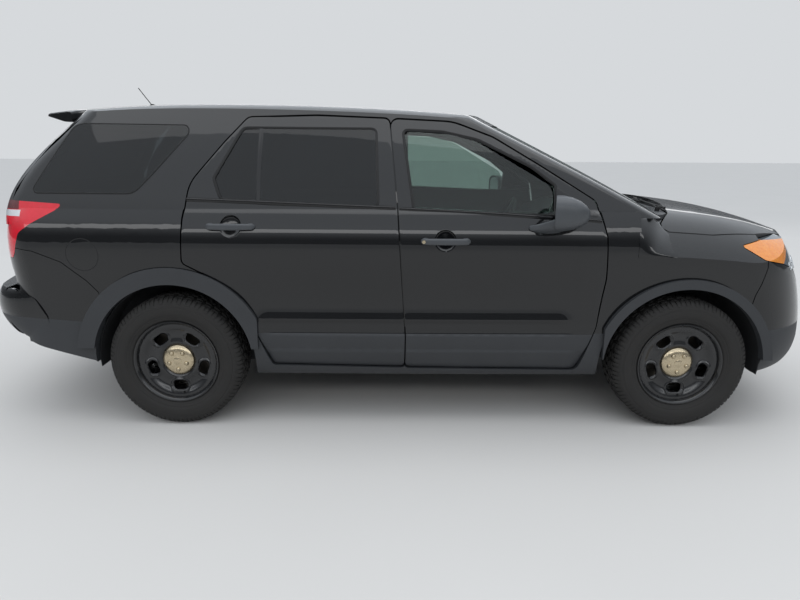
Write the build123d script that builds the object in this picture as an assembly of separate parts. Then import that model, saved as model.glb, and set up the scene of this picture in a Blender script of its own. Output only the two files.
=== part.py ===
from build123d import *
import os

# A police sport utility vehicle, in millimetres.
# +X is the car's front, +Y its left, +Z up. The origin is on the ground under the outline's middle.

# Driving dimensions
FRONT_AXLE = 1553
REAR_AXLE = -1307
HUB_Z = 380
TYRE_R = 380
TYRE_W = 262
HALF_TRACK = 851
GAP = 7
HOOD_WALL = 28
BELT_Z = 1240
WELL_R = 468
REAR_WELL_R = 456
FRONT_WELL_Y = 518
REAR_WELL_Y = 700
FAR = 3000

# Lower body, one row a level: height, half width, front end, rear end, front and rear corner radius
TUB_ROWS = (
    (290, 908, 2400, -2300, 400, 200),
    (520, 980, 2503, -2328, 420, 200),
    (700, 976, 2486, -2338, 420, 200),
    (960, 1000, 2390, -2345, 420, 200),
    (1130, 992, 2275, -2340, 400, 200),
    (1300, 905, 2100, -2300, 340, 200),
)
TUB_BOWS = (290, 150, 36)

# Greenhouse, the same columns
HOUSE_ROWS = (
    (1150, 958, 1640, -2322, 90, 130),
    (1340, 896, 1285, -2282, 90, 130),
    (1600, 778, 772, -2085, 90, 130),
    (1850, 640, 270, -1850, 90, 130),
)
HOUSE_BOWS = (168, 118, 30)

# Bonnet crown, one row a station: place along the car, height at the middle
HOOD_ROWS = ((1250, 1292), (1800, 1228), (2200, 1138), (2560, 930))
HOOD_CROWN = (640, 38, 850, 135, 1040, 340)

# Roof crown, the same columns
ROOF_ROWS = ((900, 1690), (330, 1764), (-500, 1807), (-1450, 1806), (-2300, 1715))
ROOF_CROWN = (590, 14, 700, 50, 800, 130)

# Side outlines in X and Z of what the right side is split into, with each corner's radius
DOOR_FRONT = ((1018, 1290, 60), (1067, 1110, 120), (1082, 880, 300), (1052, 600, 200), (962, 346, 30),
              (-6, 356, 20), (-3, 537, 300), (-49, 1242, 300), (-97, 1722, 40), (250, 1706, 300),
              (470, 1624, 200), (716, 1478, 300))
DOOR_REAR = ((-104, 1722, 30), (-56, 1242, 300), (-10, 537, 300), (-13, 358, 20), (-752, 372, 20),
             (-830, 548, 200), (-1040, 862, 320), (-1216, 958, 30), (-1203, 1195, 60),
             (-1178, 1372, 200), (-1000, 1590, 300), (-880, 1724, 50), (-500, 1736, 600))
WINDOW_FRONT = ((38, 1246, 20), (-24, 1652, 30), (230, 1640, 200), (384, 1600, 120), (812, 1350, 90),
                (750, 1204, 20))
WINDOW_REAR = ((-1004, 1296, 30), (-1044, 1400, 20), (-903, 1662, 40), (-180, 1660, 20), (-164, 1262, 20))
QUARTER_GLASS = ((-1490, 1328, 40), (-1202, 1632, 24), (-1215, 1672, 12), (-1770, 1672, 60),
                 (-2050, 1338, 30))
HEADLAMP = ((1846, 1052, 6), (1955, 984, 30), (2090, 955, 60), (2200, 908, 40), (2262, 832, 20),
            (2560, 812, 5), (2560, 1015, 5), (2240, 1052, 40), (2110, 1098, 40))
TAIL_LAMP = ((-2560, 1272, 5), (-2190, 1282, 30), (-1872, 1262, 8), (-1900, 1230, 40), (-2030, 1160, 60),
             (-2100, 1110, 50), (-2140, 1000, 20), (-2160, 972, 8), (-2560, 940, 5))

# Places of the split lines
HOOD_PLAN = ((1602, 0), (1578, 400), (1504, 690), (1424, 806), (1420, 838), (1450, 858), (1700, 846),
             (1960, 790), (2170, 700), (2330, 560), (2345, 0))
BUMPER_SEAM_FRONT = ((1912, 700), (1924, 786), (1946, 850), (1968, 940), (1968, 1100))
BUMPER_SEAM_REAR = ((-1696, 700), (-1703, 783), (-1760, 850), (-1882, 954), (-2032, 1013), (-2150, 1030))
TAILGATE = ((650, 800, 30), (716, 900, 60), (742, 1290, 200), (640, 1560, 200), (588, 1900, 5))
TAILGATE_EDGE_X = -1900

# Places inside
FLOOR_Z = 300
SEAT_Y = 395
SEAT_X = 60


def loft_levels(rows, bows, inset=0, end_inset=0):
    """A solid through one bowed plan outline at each level, drawn in by the insets."""
    front_bow, rear_bow, side_bow = bows
    outlines = []
    for level, half, front, rear, front_r, rear_r in rows:
        half, front, rear = half - inset, front - end_inset, rear + end_inset
        side, middle = half - side_bow, (front + rear) / 2
        corners = [(front - front_bow, -side), (front - front_bow, side),
                   (rear + rear_bow, side), (rear + rear_bow, -side)]
        outline = make_face(Curve() + [
            ThreePointArc(corners[0], (front, 0), corners[1]),
            ThreePointArc(corners[1], (middle, half), corners[2]),
            ThreePointArc(corners[2], (rear, 0), corners[3]),
            ThreePointArc(corners[3], (middle, -half), corners[0])])
        outline = fillet(outline.vertices().sort_by(Axis.X)[2:], max(front_r - end_inset, 30))
        outline = fillet(outline.vertices().sort_by(Axis.X)[:2], max(rear_r - end_inset, 30))
        outlines.append(Pos(0, 0, level) * outline)
    return loft(outlines)


def loft_crown(rows, crown, drop=0):
    """Everything under a crowned surface: a flat arch across the car that rolls down at each side."""
    y1, d1, y2, d2, y3, d3 = crown
    stations = []
    for place, height in rows:
        top = height - drop
        outline = make_face(Curve() + [
            ThreePointArc((-y1, top - d1), (0, top), (y1, top - d1)),
            ThreePointArc((y1, top - d1), (y2, top - d2), (y3, top - d3)),
            Polyline((y3, top - d3), (1200, top - d3), (1200, 0), (-1200, 0), (-1200, top - d3),
                     (-y3, top - d3)),
            ThreePointArc((-y3, top - d3), (-y2, top - d2), (-y1, top - d1))])
        stations.append(Plane(origin=(place, 0, 0), x_dir=(0, 1, 0), z_dir=(1, 0, 0)) * outline)
    return loft(stations)


def rounded(points):
    """A closed outline from rows of two coordinates and a corner radius."""
    corners = [(row[0], row[1]) for row in points]
    radii = [row[2] for row in points]
    return make_face(FilletPolyline(*corners, radius=radii, close=True))


def side_block(outline, inner=450, outer=1150):
    """A side-view outline made solid across the car's right side."""
    return extrude(Pos(0, -inner, 0) * (Plane.XZ * outline), outer - inner, dir=(0, -1, 0))


def full_block(outline, half):
    """A side-view outline made solid across the whole car, to a distance each side of the middle."""
    return side_block(outline, -half, half)


def plan_block(outline, low, high):
    """A plan-view outline made solid between two heights."""
    return extrude(Pos(0, 0, low) * outline, high - low, dir=(0, 0, 1))


def front_block(outline, back, front):
    """A front-view outline, in Y and Z, made solid between two places along the car."""
    plane = Plane(origin=(back, 0, 0), x_dir=(0, 1, 0), z_dir=(1, 0, 0))
    return extrude(plane * outline, front - back, dir=(1, 0, 0))


def box_between(low, high):
    """A box from its lowest to its highest corner."""
    size = [b - a for a, b in zip(low, high)]
    middle = [(a + b) / 2 for a, b in zip(low, high)]
    return Pos(*middle) * Box(*size)


def rod(start, end, radius):
    """A round bar from one point to another."""
    axis = Vector(*end) - Vector(*start)
    return extrude(Plane(origin=start, z_dir=axis) * Circle(radius), axis.length)


def across(x, z, radius, inner, outer):
    """A round bar along Y on the right side, between two distances from the middle."""
    return extrude(Pos(x, -inner, z) * (Plane.XZ * Circle(radius)), outer - inner, dir=(0, -1, 0))


def other_side(shape):
    """The same shape on the car's left side."""
    return mirror(shape, about=Plane.XZ)


def pair(shape):
    """A right-hand shape and its left-hand twin."""
    return Compound(children=[*shape.solids(), *other_side(shape).solids()])


def grown(outline, by):
    """An outline moved outwards, or inwards by a negative distance."""
    return offset(outline, amount=by)


def polygon(points):
    """A closed outline with sharp corners."""
    return make_face(Polyline(*points, close=True))


# The closed forms that every panel is cut from

def under_cut():
    """What is taken off below the bumpers and sills, seen from the side."""
    outline = polygon([(-FAR, 0), (-FAR, 470), (-2311, 470), (-2126, 482), (-1772, 381), (-1700, 300),
                       (1900, 300), (1984, 300), (2200, 352), (2440, 322), (FAR, 330), (FAR, 0)])
    return full_block(outline, FAR / 2)


def wells(radius, rear_radius):
    """The four round wheel wells."""
    right = (across(FRONT_AXLE, HUB_Z, radius, FRONT_WELL_Y, 1100)
             + across(REAR_AXLE, HUB_Z, rear_radius, REAR_WELL_Y, 1100))
    return right + other_side(right)


def under_hood():
    """The room under the bonnet: flat strips below the crown, one bonnet's wall down."""
    y1, d1, y2, d2, y3, d3 = HOOD_CROWN
    stations = []
    for place, height in HOOD_ROWS:
        top = height - HOOD_WALL
        half = [(y1, top - d1), (y2, top - d2), (y3, top - d3), (y3, 0)]
        outline = polygon(half + [(-y, z) for y, z in reversed(half)])
        stations.append(Plane(origin=(place, 0, 0), x_dir=(0, 1, 0), z_dir=(1, 0, 0)) * outline)
    return loft(stations, ruled=True) & box_between((1251, -FAR, 0), (2420, FAR, FAR))


def make_forms():
    """Outer and inner lower body and greenhouse."""
    tub = loft_levels(TUB_ROWS, TUB_BOWS)
    hood_top = loft_crown(HOOD_ROWS, HOOD_CROWN)
    behind = box_between((-FAR, -FAR, 0), (1251, FAR, BELT_Z))
    tub_out = (tub & (hood_top + behind)) - under_cut()
    section = [(-852, 200), (-894, 520), (-898, 700), (-920, 960), (-908, 1130), (-820, 1301)]
    section += [(-y, z) for y, z in reversed(section)]
    plan = [(2400, 0), (2370, -420), (2240, -690), (1960, -852), (1500, -940), (-1700, -940),
            (-2120, -880), (-2200, -760), (-2250, -400)]
    plan += [(x, -y) for x, y in reversed(plan[1:])]
    nose = [(2290, 0), (2262, -420), (2140, -660), (1960, -800), (1500, -940), (0, -940)]
    nose += [(x, -y) for x, y in reversed(nose[1:])]
    room = plan_block(polygon(plan), 150, 1400) - box_between((0, -FAR, 850), (FAR, FAR, 1400))
    room = room + plan_block(polygon(nose), 850, 1400)
    bay = front_block(polygon(section), -2300, 2460) & room
    bay &= under_hood() + box_between((-FAR, -FAR, 0), (1252, FAR, FAR))
    house = loft_levels(HOUSE_ROWS, HOUSE_BOWS)
    ahead = box_between((899, -FAR, 0), (FAR, FAR, FAR))
    house_out = house & (loft_crown(ROOF_ROWS, ROOF_CROWN) + ahead)
    section = [(-915, 1140), (-856, 1340), (-738, 1600), (-672, 1718), (-590, 1742), (590, 1742),
               (672, 1718), (738, 1600), (856, 1340), (915, 1140)]
    profile = [(1405, 1140), (1100, 1300), (520, 1600), (330, 1695), (60, 1738), (-400, 1760),
               (-1450, 1760), (-1800, 1742), (-1960, 1600), (-2140, 1340), (-2180, 1140)]
    house_in = front_block(polygon(section), -FAR, FAR) & full_block(polygon(profile), FAR)
    return tub_out, bay, house_out, house_in


def glass_layer(depth, thickness):
    """A thin layer of the greenhouse, from a depth under its skin."""
    outer = loft_levels(HOUSE_ROWS, HOUSE_BOWS, depth, depth)
    inner = loft_levels(HOUSE_ROWS, HOUSE_BOWS, depth + thickness, depth + thickness)
    return outer - inner


# Regions that split the shell into its panels, on the right side

def door_region(points, by=0):
    """The block in which one right door lies."""
    outline = rounded(points)
    return side_block(grown(outline, by) if by else outline)


def hood_region(by=0):
    """The block over the bonnet's plan outline."""
    half = list(HOOD_PLAN)
    outline = polygon(half + [(x, -y) for x, y in reversed(half[1:-1])])
    outline = grown(outline, by) if by else outline
    lip = [(-1000, 960), (-720, 1000), (-560, 1045), (0, 1074), (560, 1045), (720, 1000),
           (1000, 960), (1000, 1500), (-1000, 1500)]
    face = grown(polygon(lip), by) if by else polygon(lip)
    return plan_block(outline, 900, 1500) & front_block(face, 1300, 2600)


def windscreen_region(by=0):
    """The block behind the windscreen's front-view outline."""
    outline = rounded([(-838, 1212, 60), (-628, 1690, 80), (628, 1690, 80), (838, 1212, 60)])
    return front_block(grown(outline, by) if by else outline, 330, 1700)


def tailgate_region(by=0):
    """The block behind the tailgate's rear-view outline."""
    right = [(-y, z, r) for y, z, r in TAILGATE]
    outline = rounded(right + [(y, z, r) for y, z, r in reversed(TAILGATE)])
    return front_block(grown(outline, by) if by else outline, -2600, TAILGATE_EDGE_X + by)


def fender_region():
    """The block of the right fender, from the front door to the bumper's seam."""
    seam = list(BUMPER_SEAM_FRONT)
    points = [(990, 200), (990, 1276), (1300, 1190), (1385, 1172), (1385, 1500), (seam[-1][0], 1500)]
    points += list(reversed(seam)) + [(1912, 200)]
    return side_block(polygon(points), 400)


def front_bumper_region():
    """The block ahead of the fender's seam and under the bonnet."""
    seam = [(x + 5, z) for x, z in BUMPER_SEAM_FRONT]
    points = [(1917, 200)] + seam + [(2600, 1100), (2600, 200)]
    return full_block(polygon(points), 1150)


def rear_bumper_region(by=0):
    """The block behind the rear quarter's seam."""
    seam = [(x - by, z - by) for x, z in BUMPER_SEAM_REAR]
    points = [(seam[0][0], 200)] + seam + [(-2600, 1030 - by), (-2600, 200)]
    return full_block(polygon(points), 1150)


def roof_region(by=0):
    """The block over the roof panel."""
    half = [(612, 0), (540, 400), (470, 586), (TAILGATE_EDGE_X + GAP, 586), (TAILGATE_EDGE_X + GAP, 0)]
    outline = polygon(half + [(x, -y) for x, y in reversed(half[1:-1])])
    return plan_block(grown(outline, by) if by else outline, 1680, 1900)


# What the shell is split into

def make_shell(tub_out, bay, house_out, house_in):
    """The whole hollow skin, with its wheel wells open."""
    cowl_plan = [(1251, -790), (1251, 790), (1392, 800), (1530, 450), (1560, 0), (1530, -450), (1392, -800)]
    cowl_cut = plan_block(polygon(cowl_plan), 1208, 1400)
    tub_skin = tub_out - bay - cowl_cut
    low_front = box_between((1251, -FAR, 1100), (FAR, FAR, 1203))
    low_front += box_between((1251, -800, 1200), (FAR, 800, 1213))
    house_skin = house_out - house_in - low_front
    return tub_skin + house_skin - wells(WELL_R, REAR_WELL_R)


def make_doors(shell):
    """The right front and rear door, each with its window cut."""
    front = (shell & door_region(DOOR_FRONT)) - side_block(rounded(WINDOW_FRONT))
    rear = (shell & door_region(DOOR_REAR)) - side_block(rounded(WINDOW_REAR))
    return front, rear


def make_right_side(shell):
    """Sill, pillars, roof rail and rear quarter of the right side."""
    side = shell & box_between((-2600, -1200, 250), (1400, -420, 1900))
    for cut in (door_region(DOOR_FRONT, GAP), door_region(DOOR_REAR, GAP), fender_region(), roof_region(3),
                windscreen_region(), tailgate_region(GAP), rear_bumper_region(-3),
                side_block(rounded(TAIL_LAMP), 600), side_block(rounded(QUARTER_GLASS)), hood_region(GAP)):
        side = side - cut
    rocker = box_between((-815, -905, 300), (980, -800, 338))
    rocker += box_between((-815, -830, 300), (980, -800, 392))
    post = [(-840, 310), (-848, 420), (-860, 560), (-862, 1000), (-846, 1200), (-826, 1300), (-770, 1480),
            (-684, 1660), (-640, 1752), (-600, 1756), (-640, 1640), (-730, 1450), (-784, 1270),
            (-808, 1150), (-814, 420), (-808, 310)]
    post = front_block(polygon(post), -118, 2)
    arch = (across(REAR_AXLE, HUB_Z, REAR_WELL_R + 12, REAR_WELL_Y - 12, 850)
            - across(REAR_AXLE, HUB_Z, REAR_WELL_R, REAR_WELL_Y, 1000))
    arch = arch - box_between((-2600, -1200, -200), (0, 0, 330)) - box_between((-2600, -700, -200), (0, 0, 575))
    lip = across(REAR_AXLE, HUB_Z, REAR_WELL_R + 12, 850, 922) - across(REAR_AXLE, HUB_Z, REAR_WELL_R, 800, 1000)
    lip = lip & box_between((-2600, -1000, 560), (-900, -800, 900))
    lip = lip - rear_bumper_region(-3) - door_region(DOOR_REAR, GAP)
    return side + rocker + post + arch + lip


def largest(shape, least=20000):
    """A shape without the crumbs that cutting leaves."""
    solids = [solid for solid in shape.solids() if solid.volume > least]
    return solids[0] if len(solids) == 1 else Compound(children=solids)


def make_front_end(shell, forms):
    """Bonnet, cowl, fenders, front bumper, grille and lamps."""
    hood = shell & hood_region()
    lamps = side_block(rounded(HEADLAMP), 560)
    lamp_room = side_block(grown(rounded(HEADLAMP), 4), 556)
    fender = (shell & fender_region()) - hood_region(GAP) - door_region(DOOR_FRONT, GAP) - lamp_room
    fender = fender - box_between((1380, -770, 1100), (1620, -380, 1500))
    cowl = [(1300, -680), (1384, -766), (1600, -766), (1600, 766), (1384, 766), (1300, 680)]
    cowl = plan_block(polygon(cowl), 1183, 1207) + box_between((1300, -680, 1160), (1318, 680, 1190))
    cowl = cowl - hood_region(GAP)
    opening = front_block(rounded([(-430, 640, 40), (-520, 800, 60), (-490, 1004, 40), (490, 1004, 40),
                                   (520, 800, 60), (430, 640, 40)]), 2000, 2600)
    intake = front_block(rounded([(-560, 380, 30), (-600, 540, 40), (600, 540, 40), (560, 380, 30)]),
                         2000, 2600)
    bumper = (shell & front_bumper_region()) - hood_region(GAP) - opening - intake
    bumper = bumper - lamp_room - other_side(lamp_room)
    fog = front_block(Pos(-745, 560) * RectangleRounded(110, 96, 30), 1900, 2600)
    bumper = bumper - fog - other_side(fog)
    lamp = (shell & lamps) - hood_region(GAP)
    fog_lamp = (shell & front_block(Pos(-745, 560) * RectangleRounded(104, 90, 27), 1900, 2600))
    return hood, fender, cowl, bumper, opening, intake, lamp, fog_lamp


def bowed_bar(front, half, deep, low, high, radius=1700):
    """A bar across the car that follows the front's bow in plan."""
    sag = half * half / (2 * radius)
    outline = make_face(Curve() + [
        ThreePointArc((front - sag, -half), (front, 0), (front - sag, half)),
        Line((front - sag, half), (front - sag - deep, half)),
        ThreePointArc((front - sag - deep, half), (front - deep, 0), (front - sag - deep, -half)),
        Line((front - sag - deep, -half), (front - sag, -half))])
    return plan_block(outline, low, high)


def make_grille(opening, intake):
    """Three thick bars in the upper opening and slats in the lower one, over a back plate."""
    upper = bowed_bar(2400, 560, 12, 600, 1040)
    for low, high, front in ((655, 715, 2484), (770, 830, 2462), (895, 955, 2424)):
        upper += bowed_bar(front, 560, front - 2392, low, high)
    lower = bowed_bar(2430, 640, 12, 350, 560)
    for low, high in ((400, 418), (446, 464), (492, 510)):
        lower += bowed_bar(2488, 640, 62, low, high)
    return largest(Compound(children=[upper & opening, lower & intake]))


def make_rear_end(shell, forms):
    """Tailgate with its glass opening, rear bumper and tail lamps."""
    gate = (shell & tailgate_region()) - side_block(rounded(TAIL_LAMP), 760)
    window = front_block(rounded([(-660, 1345, 40), (-560, 1668, 60), (560, 1668, 60), (660, 1345, 40)]),
                         -2500, -1905)
    recess = box_between((-2600, -260, 862), (-2325, 260, 1012))
    gate = gate - window - recess
    gate = gate - other_side(side_block(rounded(TAIL_LAMP), 760))
    lamp_room = side_block(grown(rounded(TAIL_LAMP), 3), 600)
    bumper = (shell & rear_bumper_region()) - tailgate_region(GAP)
    rows = ((468, 925, 0, -2378, 300, 230), (530, 955, 0, -2440, 300, 250), (620, 968, 0, -2492, 300, 260),
            (710, 972, 0, -2503, 300, 260), (770, 966, 0, -2488, 300, 260), (826, 950, 0, -2400, 300, 240))
    end = rounded([(-2600, 400, 5), (-2600, 792, 5), (-2200, 792, 60), (-2066, 744, 60), (-2010, 640, 60),
                   (-1980, 400, 5)])
    bulge = loft_levels(rows, (150, 190, 36)) & full_block(end, 1100)
    bumper = (bumper + bulge) - lamp_room - other_side(lamp_room)
    bumper = bumper - (forms[1] + box_between((-2251, -900, 300), (-1900, 900, 900)))
    lamp = (shell & side_block(rounded(TAIL_LAMP), 600)) - tailgate_region(GAP)
    return gate, window, bumper, lamp


def make_glass():
    """The layer of the greenhouse in which all glass lies."""
    layer = glass_layer(5, 6)
    screen = layer & windscreen_region()
    doors = [layer & side_block(rounded(points)) for points in (WINDOW_FRONT, WINDOW_REAR)]
    quarter = (layer & side_block(rounded(QUARTER_GLASS))) - tailgate_region(GAP)
    return layer, screen, doors, quarter


def make_wheel():
    """A tyre, and a pressed steel wheel with five slots, a hub cap and a brake disc, on the right side."""
    half = TYRE_W / 2
    tyre_half = [(229, 60), (229, 91), (243, 100), (292, half), (330, half - 4), (362, half - 18),
                 (TYRE_R, half - 40)]
    section = [(radius, y) for radius, y in tyre_half] + [(radius, -y) for radius, y in reversed(tyre_half)]
    tyre = revolve(Plane.YZ * polygon([(y, radius) for radius, y in section]), Axis.Y)
    tyre = tyre - Rot(90, 0, 0) * Cylinder(228, TYRE_W + 10)
    rim_outer = [(226, 112), (240, 116), (240, 104), (227, 96), (227, 70), (205, 40), (205, -70),
                 (227, -80), (227, -98), (240, -106), (240, -114), (226, -110)]
    rim_inner = [(216, -98), (196, -72), (196, 26), (214, 60), (218, 100)]
    rim = revolve(Plane.YZ * polygon([(-y, radius) for radius, y in rim_outer + rim_inner]), Axis.Y)
    disc_points = [(52, 46), (84, 62), (104, 66), (130, 46), (176, 40), (199, 22), (199, 8), (172, 28),
                   (128, 34), (102, 52), (84, 50), (52, 34)]
    disc = revolve(Plane.YZ * polygon([(-y, radius) for radius, y in disc_points]), Axis.Y)
    slot = Rot(90, 0, 0) * extrude(Pos(0, 152) * SlotOverall(66, 34), 160, both=True)
    for step in range(5):
        disc = disc - Rot(0, 180 + 72 * step, 0) * slot
    cap_points = [(0, 74), (40, 72), (56, 60), (84, 56), (84, 20), (0, 20)]
    cap = revolve(Plane.YZ * polygon([(-y, radius) for radius, y in cap_points]), Axis.Y)
    rotor = Pos(0, 30, 0) * Rot(90, 0, 0) * (Cylinder(150, 24) + Pos(0, 0, 32) * Cylinder(76, 66))
    return tyre, rim + disc + cap + rotor


def make_knuckle():
    """The right front hub carrier with its brake caliper, arms and strut, along the steering axis."""
    hub = across(FRONT_AXLE, HUB_Z, 60, 690, 764)
    low = (FRONT_AXLE + 7, -776, 236)
    arm = rod((FRONT_AXLE, -728, HUB_Z), low, 16)
    arm += rod((FRONT_AXLE, -726, HUB_Z), (FRONT_AXLE - 8, -702, 500), 28)
    strut = rod((FRONT_AXLE - 8, -705, 470), (FRONT_AXLE - 27, -630, 830), 22)
    spring = rod((FRONT_AXLE - 24, -643, 775), (FRONT_AXLE - 33, -607, 944), 60)
    caliper = across(FRONT_AXLE, HUB_Z, 184, 784, 858) - across(FRONT_AXLE, HUB_Z, 108, 780, 860)
    caliper &= box_between((FRONT_AXLE - 200, -900, HUB_Z - 66), (FRONT_AXLE - 90, -700, HUB_Z + 66))
    caliper -= across(FRONT_AXLE, HUB_Z, 160, 802, 840)
    bracket = box_between((FRONT_AXLE - 170, -792, HUB_Z - 34), (FRONT_AXLE, -736, HUB_Z + 34))
    return hub + arm + strut + spring + caliper + bracket


# Inside and below

def make_floor():
    """Floor plate with its tunnel, toe board and raised load floor."""
    plate = box_between((-712, -800, FLOOR_Z), (1080, 800, FLOOR_Z + 26))
    tunnel = box_between((-712, -150, FLOOR_Z), (1120, 150, 480))
    toe = [(1060, FLOOR_Z), (1060, FLOOR_Z + 26), (1282, 566), (1306, 566), (1080, FLOOR_Z)]
    rear = [(-712, FLOOR_Z), (-700, FLOOR_Z + 26), (-790, 612), (-2236, 642), (-2236, 616), (-812, 586),
            (-724, FLOOR_Z)]
    toe = full_block(polygon(toe), 505)
    rear = full_block(polygon(rear), 686)
    hollow = box_between((-705, -124, 200), (1200, 124, 454)) + box_between((-860, -70, 200), (-600, 70, 430))
    return plate + tunnel + toe + rear - hollow


def make_seats():
    """The two front seats and the rear bench, as plain padded blocks."""
    side = rounded([(SEAT_X + 430, 640, 40), (SEAT_X + 420, 712, 50), (SEAT_X, 668, 60),
                    (SEAT_X - 112, 1190, 60), (SEAT_X - 236, 1196, 60), (SEAT_X - 130, 560, 60),
                    (SEAT_X + 400, 560, 60)])
    seat = side_block(side, SEAT_Y - 250, SEAT_Y + 250)
    seat = fillet(seat.edges().filter_by(Axis.Y, reverse=True), 30)
    head = Pos(SEAT_X - 190, -SEAT_Y, 1320) * Box(110, 250, 190)
    head = fillet(head.edges(), 34)
    stays = [Pos(SEAT_X - 190, -SEAT_Y + side_y, 1210) * Cylinder(7, 80) for side_y in (-60, 60)]
    base = box_between((SEAT_X - 90, -SEAT_Y - 210, FLOOR_Z + 26), (SEAT_X + 360, -SEAT_Y + 210, 575))
    front = seat + head + stays[0] + stays[1] + base
    bench = rounded([(-380, 640, 40), (-390, 716, 50), (-830, 680, 60), (-985, 1250, 50), (-1105, 1254, 50),
                     (-985, 664, 20), (-800, 640, 40), (-700, 590, 40), (-400, 560, 40)])
    rear = full_block(bench, 630)
    legs = box_between((-690, -560, FLOOR_Z + 26), (-440, -170, 575))
    return pair(front), rear + legs + other_side(legs)


def make_dashboard():
    """Dashboard, centre console and steering column."""
    side = rounded([(1290, 830, 20), (1290, 1150, 20), (1130, 1186, 50), (960, 1120, 60), (905, 1000, 40),
                    (940, 870, 40), (1080, 815, 40)])
    board = full_block(side, 786)
    console = rounded([(1000, 482, 20), (1000, 900, 20), (930, 900, 20), (820, 740, 80), (160, 720, 40),
                       (160, 482, 20)])
    console = full_block(console, 118)
    column = rod((1000, SEAT_Y, 900), (796, SEAT_Y, 995), 36)
    return board + console + column


WHEEL_CENTRE = (735, SEAT_Y, 1023)
COLUMN_TILT = 25


def make_steering_wheel():
    """Rim, hub and three spokes, square to the column."""
    rim = Torus(184, 16)
    hub = Cylinder(66, 44)
    spokes = [Rot(0, 0, angle) * Pos(115, 0, 0) * Box(120, 34, 16) for angle in (0, 180, 270)]
    wheel = rim + hub + spokes[0] + spokes[1] + spokes[2]
    return Pos(*WHEEL_CENTRE) * Rot(0, -(90 - COLUMN_TILT), 0) * Rot(0, 0, 90) * wheel


def make_front_structure():
    """Firewall, rails, strut towers, radiator and bumper beam."""
    wall = [(-505, 566), (505, 566), (505, 870), (780, 900), (780, 1110), (690, 1160), (-690, 1160),
            (-780, 1110), (-780, 900), (-505, 870)]
    wall = front_block(polygon(wall), 1300, 1318)
    rail = box_between((1318, -480, 470), (2200, -400, 590))
    tower = box_between((1430, -512, 560), (1650, -470, 986)) + box_between((1430, -712, 958), (1650, -470, 986))
    sides = rail + tower
    radiator = box_between((2130, -470, 430), (2188, 470, 1000))
    beam = box_between((2200, -500, 480), (2296, 500, 600))
    return wall + sides + other_side(sides) + radiator + beam


def make_underbody():
    """Subframes, exhaust, tank and driveline."""
    ring = box_between((1380, -420, 236), (1720, 420, 300)) - box_between((1440, -340, 200), (1660, 340, 400))
    arms = (rod((1410, -400, 262), (FRONT_AXLE - 2, -742, 240), 20)
            + rod((1690, -400, 262), (FRONT_AXLE + 12, -742, 240), 20))
    mounts = box_between((1400, -470, 290), (1460, -400, 470)) + box_between((1640, -470, 290), (1700, -400, 470))
    right = arms + mounts
    front = ring + right + other_side(right)
    cross = box_between((-1440, -420, 290), (-1180, 420, 350))
    hub = across(REAR_AXLE, HUB_Z, 60, 650, 764)
    link = (rod((-1400, -400, 320), (REAR_AXLE - 30, -670, HUB_Z - 20), 20)
            + rod((-1220, -400, 320), (REAR_AXLE + 30, -670, HUB_Z - 20), 20))
    coil = rod((REAR_AXLE, -560, 330), (REAR_AXLE, -560, 590), 55) + box_between(
        (-1380, -620, 318), (-1234, -500, 340))
    shaft = across(REAR_AXLE, HUB_Z, 17, 100, 660)
    right = hub + link + coil + shaft
    case = Pos(REAR_AXLE, 0, 375) * Box(230, 260, 150)
    rear = cross + right + other_side(right) + case
    bends = [(1300, -110, 262), (700, -110, 262), (450, -250, 232), (-1000, -250, 232), (-1490, -250, 226),
             (-1580, -250, 380)]
    pipe = rod(bends[0], bends[1], 30)
    for start, end in zip(bends[1:], bends[2:]):
        pipe += rod(start, end, 30) + Pos(*start) * Sphere(30)
    muffler = box_between((-1830, -420, 320), (-1540, 420, 480))
    tips = rod((-1800, -380, 400), (-2290, -470, 420), 28) + rod((-1800, 380, 400), (-2290, 470, 420), 28)
    exhaust = pipe + muffler + tips
    tank = box_between((-700, 190, 214), (-60, 690, FLOOR_Z))
    shaft = rod((1250, 0, 330), (REAR_AXLE + 100, 0, 372), 34) - rear
    return front, rear, exhaust, tank, shaft


def make_mouldings(tub_out):
    """Raised plastic edges round the right wheel openings."""
    front_ring = across(FRONT_AXLE, HUB_Z - 4, 503, 945, 994) - across(FRONT_AXLE, HUB_Z - 4, 450, 900, 1110)
    rear_ring = across(REAR_AXLE, HUB_Z + 10, 540, 945, 994) - across(REAR_AXLE, HUB_Z + 10, 446, 900, 1110)
    front_room = box_between((1100, -1200, 420), (2060, -900, 900))
    rear_room = box_between((-1850, -1200, 470), (-830, -900, 940))
    rings = (front_ring & front_room) + (rear_ring & rear_room)
    return rings - (tub_out - wells(WELL_R, REAR_WELL_R))


def make_mirror():
    """The right outside mirror: a shell that runs to a point ahead, on a swept arm."""
    side = [(-102, -62, 40), (-94, 76, 40), (-8, 92, 70), (98, -4, 14), (30, -84, 60), (-70, -92, 40)]
    rings = []
    for y, share in ((-988, 0.84), (-1040, 1.0), (-1120, 0.98), (-1183, 0.6)):
        outline = rounded([(x * share, z * share, r * share) for x, z, r in side])
        rings.append(Pos(838, y, 1246) * (Plane.XZ * outline))
    shell = loft(rings)
    arm = []
    for x, y, z, long, tall, corner in ((724, -930, 1156, 150, 48, 20), (752, -990, 1168, 140, 46, 20),
                                        (800, -1050, 1190, 90, 40, 18)):
        plane = Plane(origin=(x, y, z), x_dir=(1, 0, 0), z_dir=(0, -1, 0))
        arm.append(plane * RectangleRounded(long, tall, corner))
    return shell + loft(arm)


def make_handle(x, z, face):
    """A pull handle: a bar on two feet over the door's skin."""
    bar = Pos(x, face - 38, z) * Box(266, 16, 36)
    bar = fillet(bar.edges().filter_by(Axis.Z), 7)
    feet = [Pos(x + place, face - 19, z) * Box(34, 40, 30) for place in (-112, 112)]
    return bar + feet[0] + feet[1]


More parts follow.
